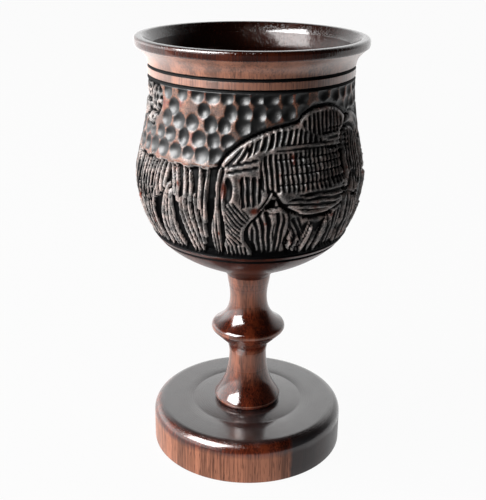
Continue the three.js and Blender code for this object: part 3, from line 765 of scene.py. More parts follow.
# Forms of the elephant, from the farthest to the nearest: how far the crown lies below the turned
# surface, the heights over which its upper edge melts into the body, and the outline.
ELEPHANT_FORMS = {
    "far hind leg": (0.75, None, (
        (0.2, 18), (4, 21), (9, 21), (12.5, 18), (13, 12), (12, 7), (13, 1.8), (3.5, 1.8), (1, 5.5),
        (-0.8, 11))),
    "far front leg": (0.8, None, (
        (29.5, 17), (33, 19.5), (36.5, 17), (36, 9), (37, 1.8), (30, 1.8), (30.5, 8))),
    "trunk": (0.0, None, (
        (54, 34), (60, 35.5), (65.5, 28), (66, 18), (64, 10), (65, 6), (68.5, 6.5), (69.5, 4),
        (65.5, 1.6), (60.5, 3.5), (59.5, 10), (60.4, 18), (58.5, 26))),
    "body": (0.0, None, (
        (-12, 27.5), (-11.2, 32.5), (-8.8, 36.5), (-5, 39.8), (-1, 42.2), (4, 44.2), (9, 45.4),
        (14, 46.2), (17.5, 47), (19.6, 48.9), (22.5, 50.3), (27, 51), (33, 50.8), (39, 48.6), (45, 43),
        (47, 34), (46.5, 27), (42, 22.5), (36, 20.5), (31, 18.6), (26, 17.4), (21, 17.3), (16, 18.3),
        (11.5, 20.5), (7.5, 24), (3, 22), (-4, 19), (-9.8, 19))),
    "near front leg": (0.1, (22, 28), (
        (36, 28), (45, 30), (46, 18), (45, 9), (46.5, 1.8), (37, 1.8), (37.4, 9), (36.2, 16))),
    "near hind leg": (0.0, (22, 28), (
        (-11.8, 28), (-6, 33), (2, 31), (6.8, 25.5), (4.3, 21.3), (1.6, 18), (-1.2, 14.8), (-2.4, 11),
        (-1.9, 7.5), (-0.2, 4.5), (0.3, 1.8), (-9.6, 1.8), (-8.8, 8), (-8.6, 14), (-9.6, 20))),
    "head": (0.0, None, (
        (40, 43.5), (46, 47), (53, 46), (58, 41), (60, 35), (58, 29), (52, 26), (46, 27), (42, 33))),
    "ear": (0.0, None, (
        (37.5, 40.5), (41.5, 43), (47, 42), (50, 37), (49.5, 29), (46, 22.5), (41.5, 20.8), (38.5, 25),
        (36.8, 32))),
    "tusk": (0.1, None, ((57, 28), (61, 24.8), (65, 23.4), (70, 24.8), (65.5, 25.6), (61.5, 27.6))),
    "tail": (0.25, None, (
        (-10.9, 33), (-11.6, 29), (-11.6, 24), (-12, 19), (-13.3, 13), (-13.6, 7), (-12.8, 1.5),
        (-10.7, 1.5), (-10.4, 8), (-10.2, 14), (-10.5, 19.5), (-10.6, 24), (-10.5, 29), (-10, 32.5))),
}

# Hatching: lean of the strokes from upright in degrees at the left and right of the patch,
# spacing, depth, and the outline of the patch.
ELEPHANT_HATCHES = (
    (-58, -20, 1.75, 0.95, (
        (-10.8, 31.5), (-8.3, 36.2), (-4, 39.8), (1, 42), (2, 38.5), (-2.5, 35.8), (-6.5, 34))),
    (-20, -6, 2.1, 1.2, (
        (-1.5, 38.5), (1, 42), (8, 44.7), (16, 45.6), (20, 45), (27, 41.6), (27, 40.4), (12, 40.4),
        (5, 38.8))),
    (4, -2, 1.75, 1.1, (
        (3.5, 26.5), (3.5, 37), (12, 38.3), (36, 38.3), (37, 28), (28, 25.6), (20, 25.4), (11, 25.6))),
    (4, 0, 1.85, 1.0, ((-3.7, 21.5), (-3.7, 30.6), (0, 31.3), (3.2, 30.8), (4, 27), (3, 22.5), (-1, 21.2))),
    (84, 88, 1.95, 1.1, ((10.5, 21.8), (18, 25.4), (36, 26), (37, 22), (30, 19), (24, 17.8), (17, 18.8))),
    (36, 46, 1.3, 0.85, (
        (-8.7, 22.5), (-4.4, 22.5), (0.2, 17.6), (-2.8, 13), (-2.8, 9), (-2, 7), (-8.9, 7), (-8.5, 14))),
    (8, 4, 1.5, 0.8, ((-8.8, 6.6), (-2, 6.6), (-0.6, 2.3), (-9.2, 2.3))),
    (3, 3, 1.9, 0.9, ((37, 2.5), (37, 26), (45, 27), (45, 2.5))),
    (3, -3, 2.0, 1.1, (
        (18.5, 46.2), (22, 49.4), (27, 50.2), (33, 50), (38, 47.8), (38, 43.4), (30, 42), (24, 42.6))),
    (-10, -4, 1.9, 0.9, (
        (38.2, 40), (41.5, 42.3), (46.8, 41.3), (49.2, 36.5), (48.7, 29), (45.4, 22.8), (41.7, 21.8),
        (38.9, 26))),
    (86, 86, 1.6, 0.7, ((55.5, 33), (63, 32), (65.2, 20), (63.4, 9), (60.5, 9), (61, 18), (59.5, 27))),
    (12, 4, 2.0, 0.9, ((0.5, 4), (-0.2, 12), (2, 18.5), (7, 19.5), (8, 4))),
    (2, -4, 1.8, 0.8, ((8, 4), (8, 18.5), (12, 17.5), (12, 4))),
    (0, 0, 1.15, 0.8, ((-13.4, 2), (-13.2, 13), (-11.8, 19), (-10.5, 19), (-10.4, 2))),
    (20, 20, 2.0, 0.6, ((50, 28), (50, 40), (56, 43), (59, 36), (57, 29))),
    (88, 86, 1.6, 0.7, ((28, 38), (28, 44.5), (40, 43.5), (40, 36))),
    (30, 24, 1.7, 0.9, ((13, 3), (13, 15), (18, 15.5), (19, 3))),
    (4, 4, 1.8, 0.8, ((30.5, 3), (31, 16), (36, 16), (36, 3))),
)

# Single cuts: width, depth and the line that they follow.
ELEPHANT_CUTS = (
    (1.1, 0.9, ((6.6, 26.6), (4.4, 22.6), (2.4, 20.2))),
    (1.8, 1.4, ((7.9, 25.6), (9.8, 22.6), (12.5, 20), (16, 18.2))),
    (2.6, 1.6, ((7.2, 22.4), (6.9, 21))),
    (1.1, 0.7, ((9, 38.8), (20, 39), (30, 38.7), (37, 38.2))),
    (1.1, 0.7, ((11, 40.4), (22, 40.4), (32, 39.9))),
    (1.2, 0.8, ((-7.5, 33.9), (-3, 35), (2, 36))),
    (1.2, 0.8, ((-7.7, 32), (-3, 33), (2, 33.8))),
    (0.9, 0.7, ((9, 36.2), (22, 36.4), (36, 36))),
    (0.9, 0.7, ((14, 34), (24, 34.2), (36, 34))),
    (0.9, 0.7, ((10, 31.3), (20, 31.4), (36, 31.3))),
    (0.9, 0.7, ((9, 28.2), (20, 28.4), (36, 28.6))),
    (1.0, 0.8, ((52.3, 38), (53.6, 39), (55, 38.2), (53.7, 37.3), (52.3, 38))),
    (2.2, 1.3, ((19, 16.4), (24, 15.6), (30, 16.2))),
    (1.4, 1.2, ((5.2, 20.7), (8.6, 20.7))),
    (1.0, 0.8, ((4.6, 19), (8.6, 18.8))),
)

# A hollow beside the root of the tail, and spots rubbed back to bare wood, as middle and radii.
TAIL_HOLLOW = ((-7.7, 26.6), (2.2, 4.8))
TAIL_HOLLOW_DEPTH = 2.0
RUBBED_SPOTS = (
    ((-9.1, 26.3), (1.3, 3.4)),
    ((14.5, 36), (1.6, 2)),
    ((1.4, 20.2), (1.9, 1.3)),
)
RUBBED_EDGE, RUBBED_FULL = 1.2, 0.5
ELEPHANT_BOX = ((-17, -2), (70, 54))
MOAT_CURVE, MOAT_STAINED = 0.6, 0.7
# Strokes: share of their spacing, fading edge, sideways sway, and unevenness along them and from each
# to the next.
STROKE_SHARE, STROKE_FADE = 0.92, 0.8
STROKE_SWAY, SWAY_PACE = 0.13, 0.8
UNEVEN_MIDDLE, UNEVEN_RANGE, UNEVEN_PACE = 0.85, 0.3, 0.9
UNEVEN_LEAST, UNEVEN_MOST = 0.4, 1.15
NEXT_ALONG, NEXT_ACROSS = 2.4, 3.7


def reach_of(x, y, middle, radii):
    """How far each place is from the middle of an oval, where 1 is its edge."""
    return np.hypot((x - middle[0]) / radii[0], (y - middle[1]) / radii[1])


def carve_form(sheet, where, x, y, line, level, melt, sizes, shallow):
    """Raises one form out of the ground, with a rounded edge and a cut round it."""
    moat_width = sizes.moat_width / MM
    found = near(x, y, line, moat_width)
    fx, fy = x[found], y[found]
    away = distance_to(fx, fy, line)
    within = inside(fx, fy, line)
    keep = 1.0 if melt is None else 1 - smooth_step(*melt, fy)
    share = np.clip(away / (sizes.form_round / MM), 0, 1)
    crown = (level + sizes.form_drop / MM * (1 - np.sqrt(1 - (1 - share) ** 2))) * shallow
    moat = sizes.moat_depth / MM * np.clip(1 - away / moat_width, 0, 1) ** MOAT_CURVE * shallow
    ground = sheet.depth[where[found]]
    raised = ground + (crown - ground) * keep
    cut = np.maximum(ground, moat * keep)
    sheet.depth[where[found]] = np.where(within, raised, cut)
    stained = within | (away < MOAT_STAINED * moat_width)
    sheet.figure[where[found]] = np.where(stained, 1.0, sheet.figure[where[found]])


def carve_hatch(sheet, where, x, y, line, lean, spacing, deep):
    """Cuts a patch of like strokes with a round gouge, a little uneven, which fade at the patch's edge."""
    found = near(x, y, line, 0)
    fx, fy = x[found], y[found]
    strength = inside(fx, fy, line) * smooth_step(0, STROKE_FADE, distance_to(fx, fy, line))
    middle, low, high = line.mean(0), line[:, 0].min(), line[:, 0].max()
    angle = np.radians(lean[0] + (lean[1] - lean[0]) * (fx - low) / (high - low))
    px, py = fx - middle[0], fy - middle[1]
    sway = STROKE_SWAY * wobble(SWAY_PACE * fx, SWAY_PACE * fy)
    across = (px * np.cos(angle) + py * np.sin(angle)) / spacing + sway
    along = py * np.cos(angle) - px * np.sin(angle)
    number = np.floor(across)
    off = np.abs(across - number - 0.5) * 2
    stroke = np.clip(1 - (off / STROKE_SHARE) ** 2, 0, 1)
    change = wobble(UNEVEN_PACE * along + NEXT_ALONG * number, NEXT_ACROSS * number)
    uneven = np.clip(UNEVEN_MIDDLE + UNEVEN_RANGE * change, UNEVEN_LEAST, UNEVEN_MOST)
    sheet.depth[where[found]] += deep * stroke * strength * uneven


def carve_cut(sheet, where, x, y, line, width, deep):
    """Cuts one line with a round gouge."""
    found = near(x, y, line, width)
    away = distance_to(x[found], y[found], line)
    sheet.depth[where[found]] += deep * np.clip(1 - (2 * away / width) ** 2, 0, 1)


def carve_elephant(sheet, sizes, around, scale):
    """Carves the walking elephant, with its tail towards smaller values of around."""
    x, y = sheet.from_place(around, 0, scale)
    shallow = scale ** 0.5
    (low_x, low_y), (high_x, high_y) = ELEPHANT_BOX
    where = np.flatnonzero((x > low_x) & (x < high_x) & (y > low_y) & (y < high_y))
    x, y = x[where], y[where]
    for level, melt, points in ELEPHANT_FORMS.values():
        carve_form(sheet, where, x, y, curved(points, closed=True), level, melt, sizes, shallow)
    for left, right, spacing, deep, points in ELEPHANT_HATCHES:
        carve_hatch(sheet, where, x, y, curved(points, closed=True), (left, right), spacing, deep * shallow)
    for width, deep, points in ELEPHANT_CUTS:
        carve_cut(sheet, where, x, y, curved(points), width, deep * shallow)
    hollow = np.clip(1 - reach_of(x, y, *TAIL_HOLLOW) ** 2, 0, 1)
    sheet.depth[where] += TAIL_HOLLOW_DEPTH * hollow * shallow
    for spot in RUBBED_SPOTS:
        rubbed = smooth_step(RUBBED_EDGE, RUBBED_FULL, reach_of(x, y, *spot))
        sheet.rubbed[where] = np.maximum(sheet.rubbed[where], rubbed)


# Gouge scoops in the sky at the front, row by row from the top: height and places around.
FRONT_SCOOPS = (
    (55, (-34.6, -26.8, -20.2, -14.2, -8.8, -3.2, 2, 6.8, 12.8, 18.6)),
    (50.4, (-31, -17.4, -7.4, -2.4, 2.8, 8, 13.4, 19.2, 24.4)),
    (46.4, (-34.4, -28, -22, -14.6, -9.6, -2.8, 2.2)),
    (41.6, (-37.2, -31.6, -25.2, -18.8, -13.2, -8)),
    (36.9, (-40, -34.4, -28.2, -22.6, -17.2, -12)),
)
SCOOP_STEP = 5.6
SCOOP_JITTER = 0.55
SCOOP_SIZES, SCOOP_DEPTHS = (0.86, 1.12), (0.75, 1.1)
FRONT_FROM, FRONT_TO = -41, 27
SKY_SEED = 11

# The line where the meadow meets the sky: places around and heights.
HORIZON = ((-126, 33), (-90, 34), (-60, 33), (-40, 33.4), (-20, 33.2), (-10, 34), (30, 34), (64, 32),
           (90, 33), (126, 33))
HORIZON_WAVE, HORIZON_PACE = 0.4, 0.9


def horizon(around):
    """Height of the line where the meadow meets the sky."""
    points = np.array(HORIZON, float)
    return np.interp(around, points[:, 0], points[:, 1]) + HORIZON_WAVE * np.sin(around * HORIZON_PACE)


def sky_scoops(sheet):
    """Centres of all the scoops: those at the front as listed, the rest in staggered rows."""
    random = np.random.default_rng(SKY_SEED)
    centres = [(around, up) for up, row in FRONT_SCOOPS for around in row]
    half = sheet.girth / 2
    for row, (up, _) in enumerate(FRONT_SCOOPS):
        start = FRONT_TO + (0.5 + row % 2) * SCOOP_STEP / 2
        count = int((sheet.girth - (FRONT_TO - FRONT_FROM)) / SCOOP_STEP)
        for i in range(count):
            around = start + i * SCOOP_STEP + random.uniform(-SCOOP_JITTER, SCOOP_JITTER)
            around = (around + half) % sheet.girth - half
            centres.append((around, up + random.uniform(-SCOOP_JITTER, SCOOP_JITTER)))
    return centres


def carve_sky(sheet, sizes):
    """Cuts the scoops, leaving ridges between them."""
    random = np.random.default_rng(SKY_SEED + 1)
    sky = sheet.up > horizon(sheet.around)
    for around, up in sky_scoops(sheet):
        wide, tall = sizes.scoop_radius / MM * random.uniform(*SCOOP_SIZES, 2)
        cut = sizes.scoop_depth / MM * random.uniform(*SCOOP_DEPTHS)
        x, y = sheet.from_place(around, up)
        found = np.flatnonzero((np.abs(x) < wide) & (np.abs(y) < tall) & sky)
        scoop = cut * (1 - (x[found] / wide) ** 2 - (y[found] / tall) ** 2)
        sheet.depth[found] = np.maximum(sheet.depth[found], scoop)


# Meadows: from and to around, sideways lean of the strands for each millimetre up, and their
# lowest and highest tips.
MEADOWS = (
    (-126.7, -50, -0.13, 31, 36),
    (14, 34, 0.28, 8, 15.5),
    (44, 58, 0.2, 8, 15),
    (62, 126.7, 0.12, 30, 35.5),
)
# Long leaves at the front, beside the elephant's tail: width, and the line from foot to tip.
LEAVES = (
    (2.0, ((-33.2, 2.2), (-33.7, 8), (-33.4, 14), (-31.6, 20.5), (-29.6, 27))),
    (2.0, ((-30, 1.9), (-31.4, 8), (-31.8, 13), (-31, 18.5), (-29.5, 26))),
    (1.9, ((-28, 1.8), (-29.4, 6.5), (-30, 11), (-29.5, 16.5), (-28.8, 24.5))),
    (1.8, ((-26.4, 1.9), (-27.9, 8), (-28.5, 13.5), (-28.3, 19.5), (-27.9, 25))),
    (1.8, ((-21.5, 1.5), (-22.3, 7), (-23.4, 12.5), (-24.5, 17.5), (-24.8, 23))),
    (1.9, ((-19.6, 1.5), (-20.3, 7), (-21.4, 12.5), (-22.6, 17.5), (-23.3, 23.5))),
    (1.9, ((-17.9, 1.5), (-18.6, 7), (-19.6, 12.5), (-20.7, 17.5), (-21.4, 24.5))),
    (1.7, ((-16.9, 6), (-17.4, 12), (-18.3, 18), (-19.2, 25))),
    (1.6, ((-15.9, 9), (-16, 15), (-16.5, 20), (-17.2, 25.5))),
    (2.6, ((-17, 20), (-16.8, 25), (-17.2, 30), (-17.9, 34.5))),
    (1.6, ((-15.2, 15), (-15, 22), (-14.8, 28), (-14.5, 35))),
    (1.8, ((-20.3, 22), (-20.4, 26), (-21, 29.5), (-21.8, 32.5))),
    (2.2, ((-22.4, 23), (-22.6, 27), (-23.4, 31), (-24, 34.5))),
    (1.9, ((-25.6, 21), (-25.8, 26), (-26.5, 29.5), (-27.6, 34))),
    (1.7, ((-26.8, 23), (-27.6, 28), (-28.6, 31), (-29.6, 34.5))),
    (2.3, ((-31.6, 25), (-31.2, 29), (-30.6, 32), (-30, 35))),
    (1.8, ((-33.6, 23), (-33.9, 28), (-33.2, 31.5), (-32.2, 35))),
    (1.5, ((-35, 21), (-35.7, 26), (-35.2, 30), (-33.8, 34.5))),
    (1.4, ((-36.6, 20), (-37.4, 25), (-37, 29.5), (-35.6, 34.5))),
    (1.4, ((-38.2, 19), (-39.1, 24.5), (-38.7, 29.5), (-37.3, 34.5))),
    (1.5, ((-40, 18.5), (-40.9, 24), (-40.5, 29.5), (-39, 34.5))),
    (1.6, ((-42, 18), (-42.9, 24), (-42.5, 29.5), (-40.8, 35))),
    (1.7, ((-44.2, 18), (-45, 24), (-44.6, 29.5), (-42.9, 35))),
    (1.8, ((-46.6, 18), (-47.3, 24), (-46.8, 30), (-45, 35))),
    (1.8, ((-49, 18), (-49.6, 24), (-49.2, 30), (-47.4, 35))),
    (2.1, ((-36.4, 3), (-37.8, 9), (-38.3, 14), (-37.5, 19), (-35.4, 25))),
    (1.7, ((-38.6, 3), (-40.1, 9.5), (-40.4, 14), (-39.4, 19), (-38, 24))),
    (1.6, ((-40.6, 3), (-42.1, 10), (-42.3, 15), (-41.2, 20), (-40, 24))),
    (1.6, ((-42.6, 3), (-44.1, 10.5), (-44.4, 15), (-43.2, 20), (-42, 24))),
    (1.7, ((-44.7, 3), (-46.3, 11), (-46.6, 16), (-45.4, 20), (-44, 24))),
    (1.8, ((-47, 3), (-48.6, 12), (-48.8, 18), (-47.4, 24))),
)
LEAF_LEVELS = (0.1, 0.3, 0.15, 0.45, 0.2)
LEAF_TAPER, LEAF_POINT = 0.55, 0.01
# Leaves at the left of this place have no vein.
VEINED_FROM = -34.0
LEAF_VEIN, LEAF_VEIN_SHARE = 0.45, 0.35
# Between two tufts of the other grass is a deep gap.
TUFT_WIDTH = 6.8
TUFT_FROM, TUFT_TO = 0.72, 0.95
MEADOW_SEED = 5
STRANDS = 256
TIP_LENGTH, STRAND_POINT = 5, 1e-4
LOW_STRANDS = 0.16
LOW_STRAND_LEVEL, HIGH_STRAND_LEVEL = 0.9, 0.45
GROUND_FADE, GRASS_EDGE = 1.0, 0.3
# The lean of a strand grows with its height, and its line sways.
LEAN_START, LEAN_GROWTH = 0.6, 40
STRAND_SWAY, STRAND_SWAY_AROUND, STRAND_SWAY_UP = 0.6, 0.22, 0.2
# Uneven widths of the strands, as waves: share of a width, pace and start.
STRAND_WAVES = ((0.22, 1.1, 0), (0.3, 0.43, 1))


def carve_meadow(sheet, sizes):
    """Cuts strands of grass with round backs and pointed tips, and the long leaves at the front."""
    tips, levels = np.random.default_rng(MEADOW_SEED).random((2, STRANDS))
    deep, width = sizes.meadow_depth / MM, sizes.strand_width / MM
    below = horizon(sheet.around) - sheet.up
    ground = deep * smooth_step(0, GROUND_FADE, below)
    sheet.depth = np.where(below > 0, ground, sheet.depth)
    sheet.figure = np.where(below > -GRASS_EDGE, 1.0, 0.0)
    for start, end, lean, low_tip, high_tip in MEADOWS:
        found = np.flatnonzero((sheet.around >= start) & (sheet.around < end) & (below > 0))
        x, y = sheet.around[found], sheet.up[found]
        upright = x - lean * y * (LEAN_START + y / LEAN_GROWTH)
        from_crown = 2 * np.abs(upright / TUFT_WIDTH - np.rint(upright / TUFT_WIDTH))
        straight = upright + STRAND_SWAY * wobble(STRAND_SWAY_AROUND * x, STRAND_SWAY_UP * y)
        across = straight / width
        for share, pace, begin in STRAND_WAVES:
            across += share * np.sin(pace * straight + begin)
        number = np.floor(across).astype(int)
        off = np.abs(across - number - 0.5) * 2
        number %= STRANDS
        tip = low_tip + (high_tip - low_tip) * tips[number]
        slim = np.sqrt(np.clip((tip - y) / TIP_LENGTH, STRAND_POINT, 1))
        level = np.where(levels[number] < LOW_STRANDS, LOW_STRAND_LEVEL, HIGH_STRAND_LEVEL * levels[number])
        strand = level + (deep - level) * np.clip(off / slim, 0, 1) ** 2
        strand = np.maximum(strand, deep * smooth_step(TUFT_FROM, TUFT_TO, from_crown))
        sheet.depth[found] = np.where(y < tip, np.minimum(strand, deep), ground[found])
    for i, (leaf_width, points) in enumerate(LEAVES):
        line = curved(points)
        found = near(sheet.around, sheet.up, line, leaf_width)
        along = (sheet.up[found] - points[0][1]) / (points[-1][1] - points[0][1])
        half = leaf_width / 2 * np.sqrt(np.clip((1 - along) / LEAF_TAPER, LEAF_POINT, 1))
        share = np.clip(distance_to(sheet.around[found], sheet.up[found], line) / half, 0, 1)
        level = LEAF_LEVELS[i % len(LEAF_LEVELS)]
        vein = (points[0][0] > VEINED_FROM) * LEAF_VEIN * np.clip(1 - share / LEAF_VEIN_SHARE, 0, 1)
        sheet.depth[found] = np.minimum(sheet.depth[found], level + vein + (deep - level) * share ** 2)


# Trees: place around of the trunk's foot, lean of the trunk, and the clumps of leaves as
# (around, up, radius around, radius up) from the trunk's foot.
TREES = (
    (-63.9, 2, (
        (-10, 53, 8, 3.6), (1, 54, 8.5, 3.4), (12, 53.6, 8.5, 3.4), (20, 51.5, 4.6, 4.6),
        (7, 47.5, 6.5, 2.8), (-5, 47, 6, 2.6), (17.4, 44.6, 3.2, 2.2))),
    (78, -3, ((-9, 52, 7, 3.2), (1, 54, 8, 3.4), (10, 52.5, 7, 3), (-2, 47.5, 6, 2.6))),
)
TRUNK_HEIGHT = 50
TRUNK_HALF = 2.1
TRUNK_MOAT = 1.6
TREE_REACH = 32
TRUNK_FOOT, TRUNK_TAPER = 1.25, 0.5
ROOT_FLARE, ROOT_HEIGHT = 1.2, 3
BARK_STEP, BARK_SWAY, BARK_SHARP, BARK_DEPTH = 1.3, 0.2, 2.2, 0.5
TRUNK_CROWN, TRUNK_DROP = 0.15, 0.8
CLUMP_UNEVEN, CLUMP_DROP, CLUMP_STAINED = 0.05, 0.9, 1.4
CLUMP_GAP, GAP_EDGE, GAP_FULL = 2.0, 1.45, 1.05
LEAF_CUT, LEAF_STEP, LEAF_NICK = 1.15, 2.3, 0.7


def carve_tree(sheet, sizes, around, lean, clumps):
    """Carves a trunk with bark and clumps of leaves standing out of deep gaps."""
    x, y = sheet.from_place(around, 0)
    box = np.flatnonzero((np.abs(x) < TREE_REACH) & (y > 0))
    bx, by = x[box], y[box]
    middle = lean * (by / TRUNK_HEIGHT) ** 2
    roots = ROOT_FLARE * np.exp(-by / ROOT_HEIGHT)
    half = TRUNK_HALF * (TRUNK_FOOT - TRUNK_TAPER * by / TRUNK_HEIGHT) + roots
    beyond = np.abs(bx - middle) - half
    trunk = (beyond < 0) & (by < TRUNK_HEIGHT)
    strip = ((bx - middle) / BARK_STEP + BARK_SWAY * wobble(bx, by)) % 1
    bark = np.clip(1 - BARK_SHARP * np.abs(strip - 0.5), 0, 1)
    moat = sizes.moat_depth / MM * np.clip(1 - beyond / TRUNK_MOAT, 0, 1) ** MOAT_CURVE * (by < TRUNK_HEIGHT)
    depth = np.maximum(sheet.depth[box], moat)
    rounded = TRUNK_CROWN + TRUNK_DROP * (1 + beyond / half) ** 3
    depth = np.where(trunk, rounded + BARK_DEPTH * bark, depth)
    figure = np.where(beyond < TRUNK_MOAT, 1.0, sheet.figure[box])
    for cx, cy, rx, ry in clumps:
        reach = reach_of(bx, by, (cx, cy), (rx, ry)) + CLUMP_UNEVEN * wobble(2 * bx, 2 * by)
        gap = np.maximum(depth, CLUMP_GAP * smooth_step(GAP_EDGE, GAP_FULL, reach))
        leaf_x = (bx / LEAF_STEP + 0.5 * (np.floor(by / LEAF_STEP) % 2)) % 1 - 0.5
        leaf_y = (by / LEAF_STEP) % 1 - 0.5
        leaf = LEAF_NICK * np.clip(1 - (np.hypot(leaf_x, leaf_y) * LEAF_STEP / LEAF_CUT) ** 2, 0, 1)
        depth = np.where(reach < 1, CLUMP_DROP * np.clip(reach, 0, 1) ** 4 + leaf, gap)
        figure = np.where(reach < CLUMP_STAINED, 1.0, figure)
    sheet.depth[box] = depth
    sheet.figure[box] = figure


GROUND_HEIGHT, GROUND_SLOPE, GROUND_SHARE = 2.6, 1.6, 0.6
GROUND_LEVEL, NICK_DEPTH, DEEPEST_NICK = 0.35, 0.9, 1.3
# Paces of the fine and the coarse nicks in the ground.
FINE_AROUND, FINE_UP = 2.9, 3.4
COARSE_AROUND, COARSE_UP, COARSE_START = 1.3, 2.2, 3
CALF_AROUND, CALF_SCALE = 110.0, 0.62
TOOL_MARK, TOOL_PACE_AROUND, TOOL_PACE_UP = 0.05, 1.9, 2.3
# Rows of the skin that belong to the scored lines at its edges.
SCORE_ROWS = 3
SANDED = 0.1
RIDGE_PASSES = 10
RUBBED_RELIEF = 0.15
SKY_FLAT = 0.5
THIN_RIDGES = 0.5
# At the left of the front the strands' relief is lowered so that less of them comes out pale: painted shade
# on the part that the side light lights most.
LEFT_PAINTED_SHADE = 0.42
LEFT_SHADE_RIGHT_END = (-33.0, -40.0)
LEFT_SHADE_LEFT_END = (-68.0, -56.0)


def carve_ground(sheet):
    """Breaks up the strip of ground at the bottom with small nicks."""
    fine = wobble(FINE_AROUND * sheet.around, FINE_UP * sheet.up)
    coarse = wobble(COARSE_AROUND * sheet.around + COARSE_START, COARSE_UP * sheet.up)
    nicks = GROUND_LEVEL + NICK_DEPTH * np.abs(fine) * np.abs(coarse)
    strip = GROUND_SHARE * smooth_step(GROUND_HEIGHT, GROUND_HEIGHT - GROUND_SLOPE, sheet.up)
    sheet.depth += (np.minimum(nicks, DEEPEST_NICK) - sheet.depth) * strip


def carve(sheet, sizes):
    """All the carving on the bowl, from the farthest thing to the nearest."""
    carve_sky(sheet, sizes)
    carve_meadow(sheet, sizes)
    for tree in TREES:
        carve_tree(sheet, sizes, *tree)
    carve_ground(sheet)
    carve_elephant(sheet, sizes, 0, 1.0)
    carve_elephant(sheet, sizes, CALF_AROUND, CALF_SCALE)
    sheet.depth += TOOL_MARK * wobble(TOOL_PACE_AROUND * sheet.around, TOOL_PACE_UP * sheet.up)
    inner = np.zeros((sheet.rows, sheet.columns))
    inner[SCORE_ROWS:-SCORE_ROWS] = 1.0
    sheet.depth = np.maximum(sheet.depth, SANDED) * inner.ravel()
    level = sheet.levelled(RIDGE_PASSES)
    above = np.where(sheet.figure > 0.5, level, SKY_FLAT - THIN_RIDGES * level) - sheet.depth
    # Painted shade: the strands at the left of the front come out less pale.
    left_painted_shade = smooth_step(*LEFT_SHADE_LEFT_END, sheet.around) * smooth_step(*LEFT_SHADE_RIGHT_END, sheet.around)
    above -= LEFT_PAINTED_SHADE * left_painted_shade * (sheet.up < horizon(sheet.around))
    sheet.relief = np.maximum(above, RUBBED_RELIEF * sheet.rubbed) * inner.ravel()


UNDERSIDE_BEND = (0.13, 0.33, 0.62, 0.42)
LOWER_BELLY_BEND = (0.41, 0.155, 1, 0.57)
UPPER_BELLY_BEND = (0, 0.18, 0.96, 0.5)
LIP_FLARE_BEND = (0, 0.42, 0.5, 0.76)
INNER_LIP_BEND = (0.3, 0.146, 0.82, 0.45)
INNER_NECK_BEND = (0, 0.3, 1, 0.62)
INNER_FLOOR_BEND = (0, 0.6, 0.44, 1)
LIP_DEGREES = (-45, 135)
SCORE_SHOULDER, SHOULDER_DROP = 0.42, 0.12
SCORE_BLACKENED = 0.9
SAME_HEIGHT = 1e-6


def radius_at(points, height):
    """Radius of a rising outline at a height."""
    return float(np.interp(height, [p[1] for p in points], [p[0] for p in points]))


def between(points, low, high):
    """The stretch of a rising outline between two heights."""
    kept = [p for p in points if low < p[1] < high]
    return [(radius_at(points, low), low), *kept, (radius_at(points, high), high)]


def score_side(points, height, sizes, side):
    """One wall of a scored line, from its floor out to the surface. Side is -1 below and 1 above."""
    floor_radius = radius_at(points, height) - sizes.score_depth
    lip = height + side * sizes.score_width / 2
    shoulder = height + side * sizes.score_width * SCORE_SHOULDER
    return [
        (floor_radius, height + side * sizes.score_floor / 2),
        (radius_at(points, shoulder) - SHOULDER_DROP * sizes.score_depth, shoulder),
        (radius_at(points, lip), lip),
    ]


def surface_lengths(points, heights):
    """Lengths along a rising outline, from its start to some heights, in millimetres."""
    return np.interp(heights, [p[1] for p in points], lengths_along(points)) / MM


def carve_skin(bm, rows, outside, lower_edge, sizes):
    """Cuts the carving into a spun skin, and keeps how far each place stands out."""
    relief = bm.verts.layers.float.new(RELIEF)
    rubbed = bm.verts.layers.float.new(RUBBED)
    verts = list(bm.verts)
    co = np.array([vert.co[:] for vert in verts])
    radii, heights = np.array(rows).T
    row = np.searchsorted((heights[1:] + heights[:-1]) / 2, co[:, 2])
    turn = 2 * math.pi / CARVED_STEPS
    column = np.rint(np.arctan2(co[:, 0], -co[:, 1]) / turn).astype(int) % CARVED_STEPS
    belly = max(radii) / MM
    girth = 2 * math.pi * belly
    around = (np.arange(CARVED_STEPS) * turn * belly + girth / 2) % girth - girth / 2
    up = surface_lengths(outside, heights) - surface_lengths(outside, lower_edge) + LOWER_EDGE_UP
    sheet = Sheet(around, up, girth)
    carve(sheet, sizes)
    place = row * CARVED_STEPS + column
    turned = np.array(between(outside, heights[0], heights[-1]))
    slope = np.gradient(turned, axis=0)
    slope /= np.hypot(*slope.T)[:, None]
    levels = turned[:, 1]
    outward = np.interp(co[:, 2], levels, slope[:, 1])
    upward = np.interp(co[:, 2], levels, -slope[:, 0])
    depth = sheet.depth[place] * MM
    radius = np.hypot(co[:, 0], co[:, 1])
    co[:, :2] *= (1 - depth * outward / radius)[:, None]
    co[:, 2] -= depth * upward
    kept = zip(verts, co.tolist(), sheet.relief[place].tolist(), sheet.rubbed[place].tolist())
    for vert, new_place, height, share in kept:
        vert.co = new_place
        vert[relief] = height
        vert[rubbed] = share
    figure = dict(zip(verts, sheet.figure[place].tolist()))
    for face in bm.faces:
        share = sum(figure[vert] for vert in face.verts) / len(face.verts)
        face.material_index = FIGURE if share > 0.5 else SCOOPED


# How far a face has to lie within the turned outside to be on the inside.
INSIDE_FROM = 1 * MM


def bowl_surface(face, outside, neck, scores, reach):
    """Which material a face of the bowl has: the lip's, a scored line's, the neck's or its own."""
    centre = face.calc_center_median()
    within = math.hypot(centre.x, centre.y) < radius_at(outside, centre.z) - INSIDE_FROM
    if centre.z > outside[-1][1]:
        return LIP
    if face.material_index == TURNED and within:
        return TURNED
    if any(abs(centre.z - height) < reach for height in scores):
        return GROOVED
    return NECK if face.material_index == TURNED and centre.z > neck else face.material_index


def rim_of(bm, height):
    """The open edges at a height."""
    return [edge for edge in bm.edges
            if edge.is_boundary and all(abs(vert.co.z - height) < SAME_HEIGHT for vert in edge.verts)]


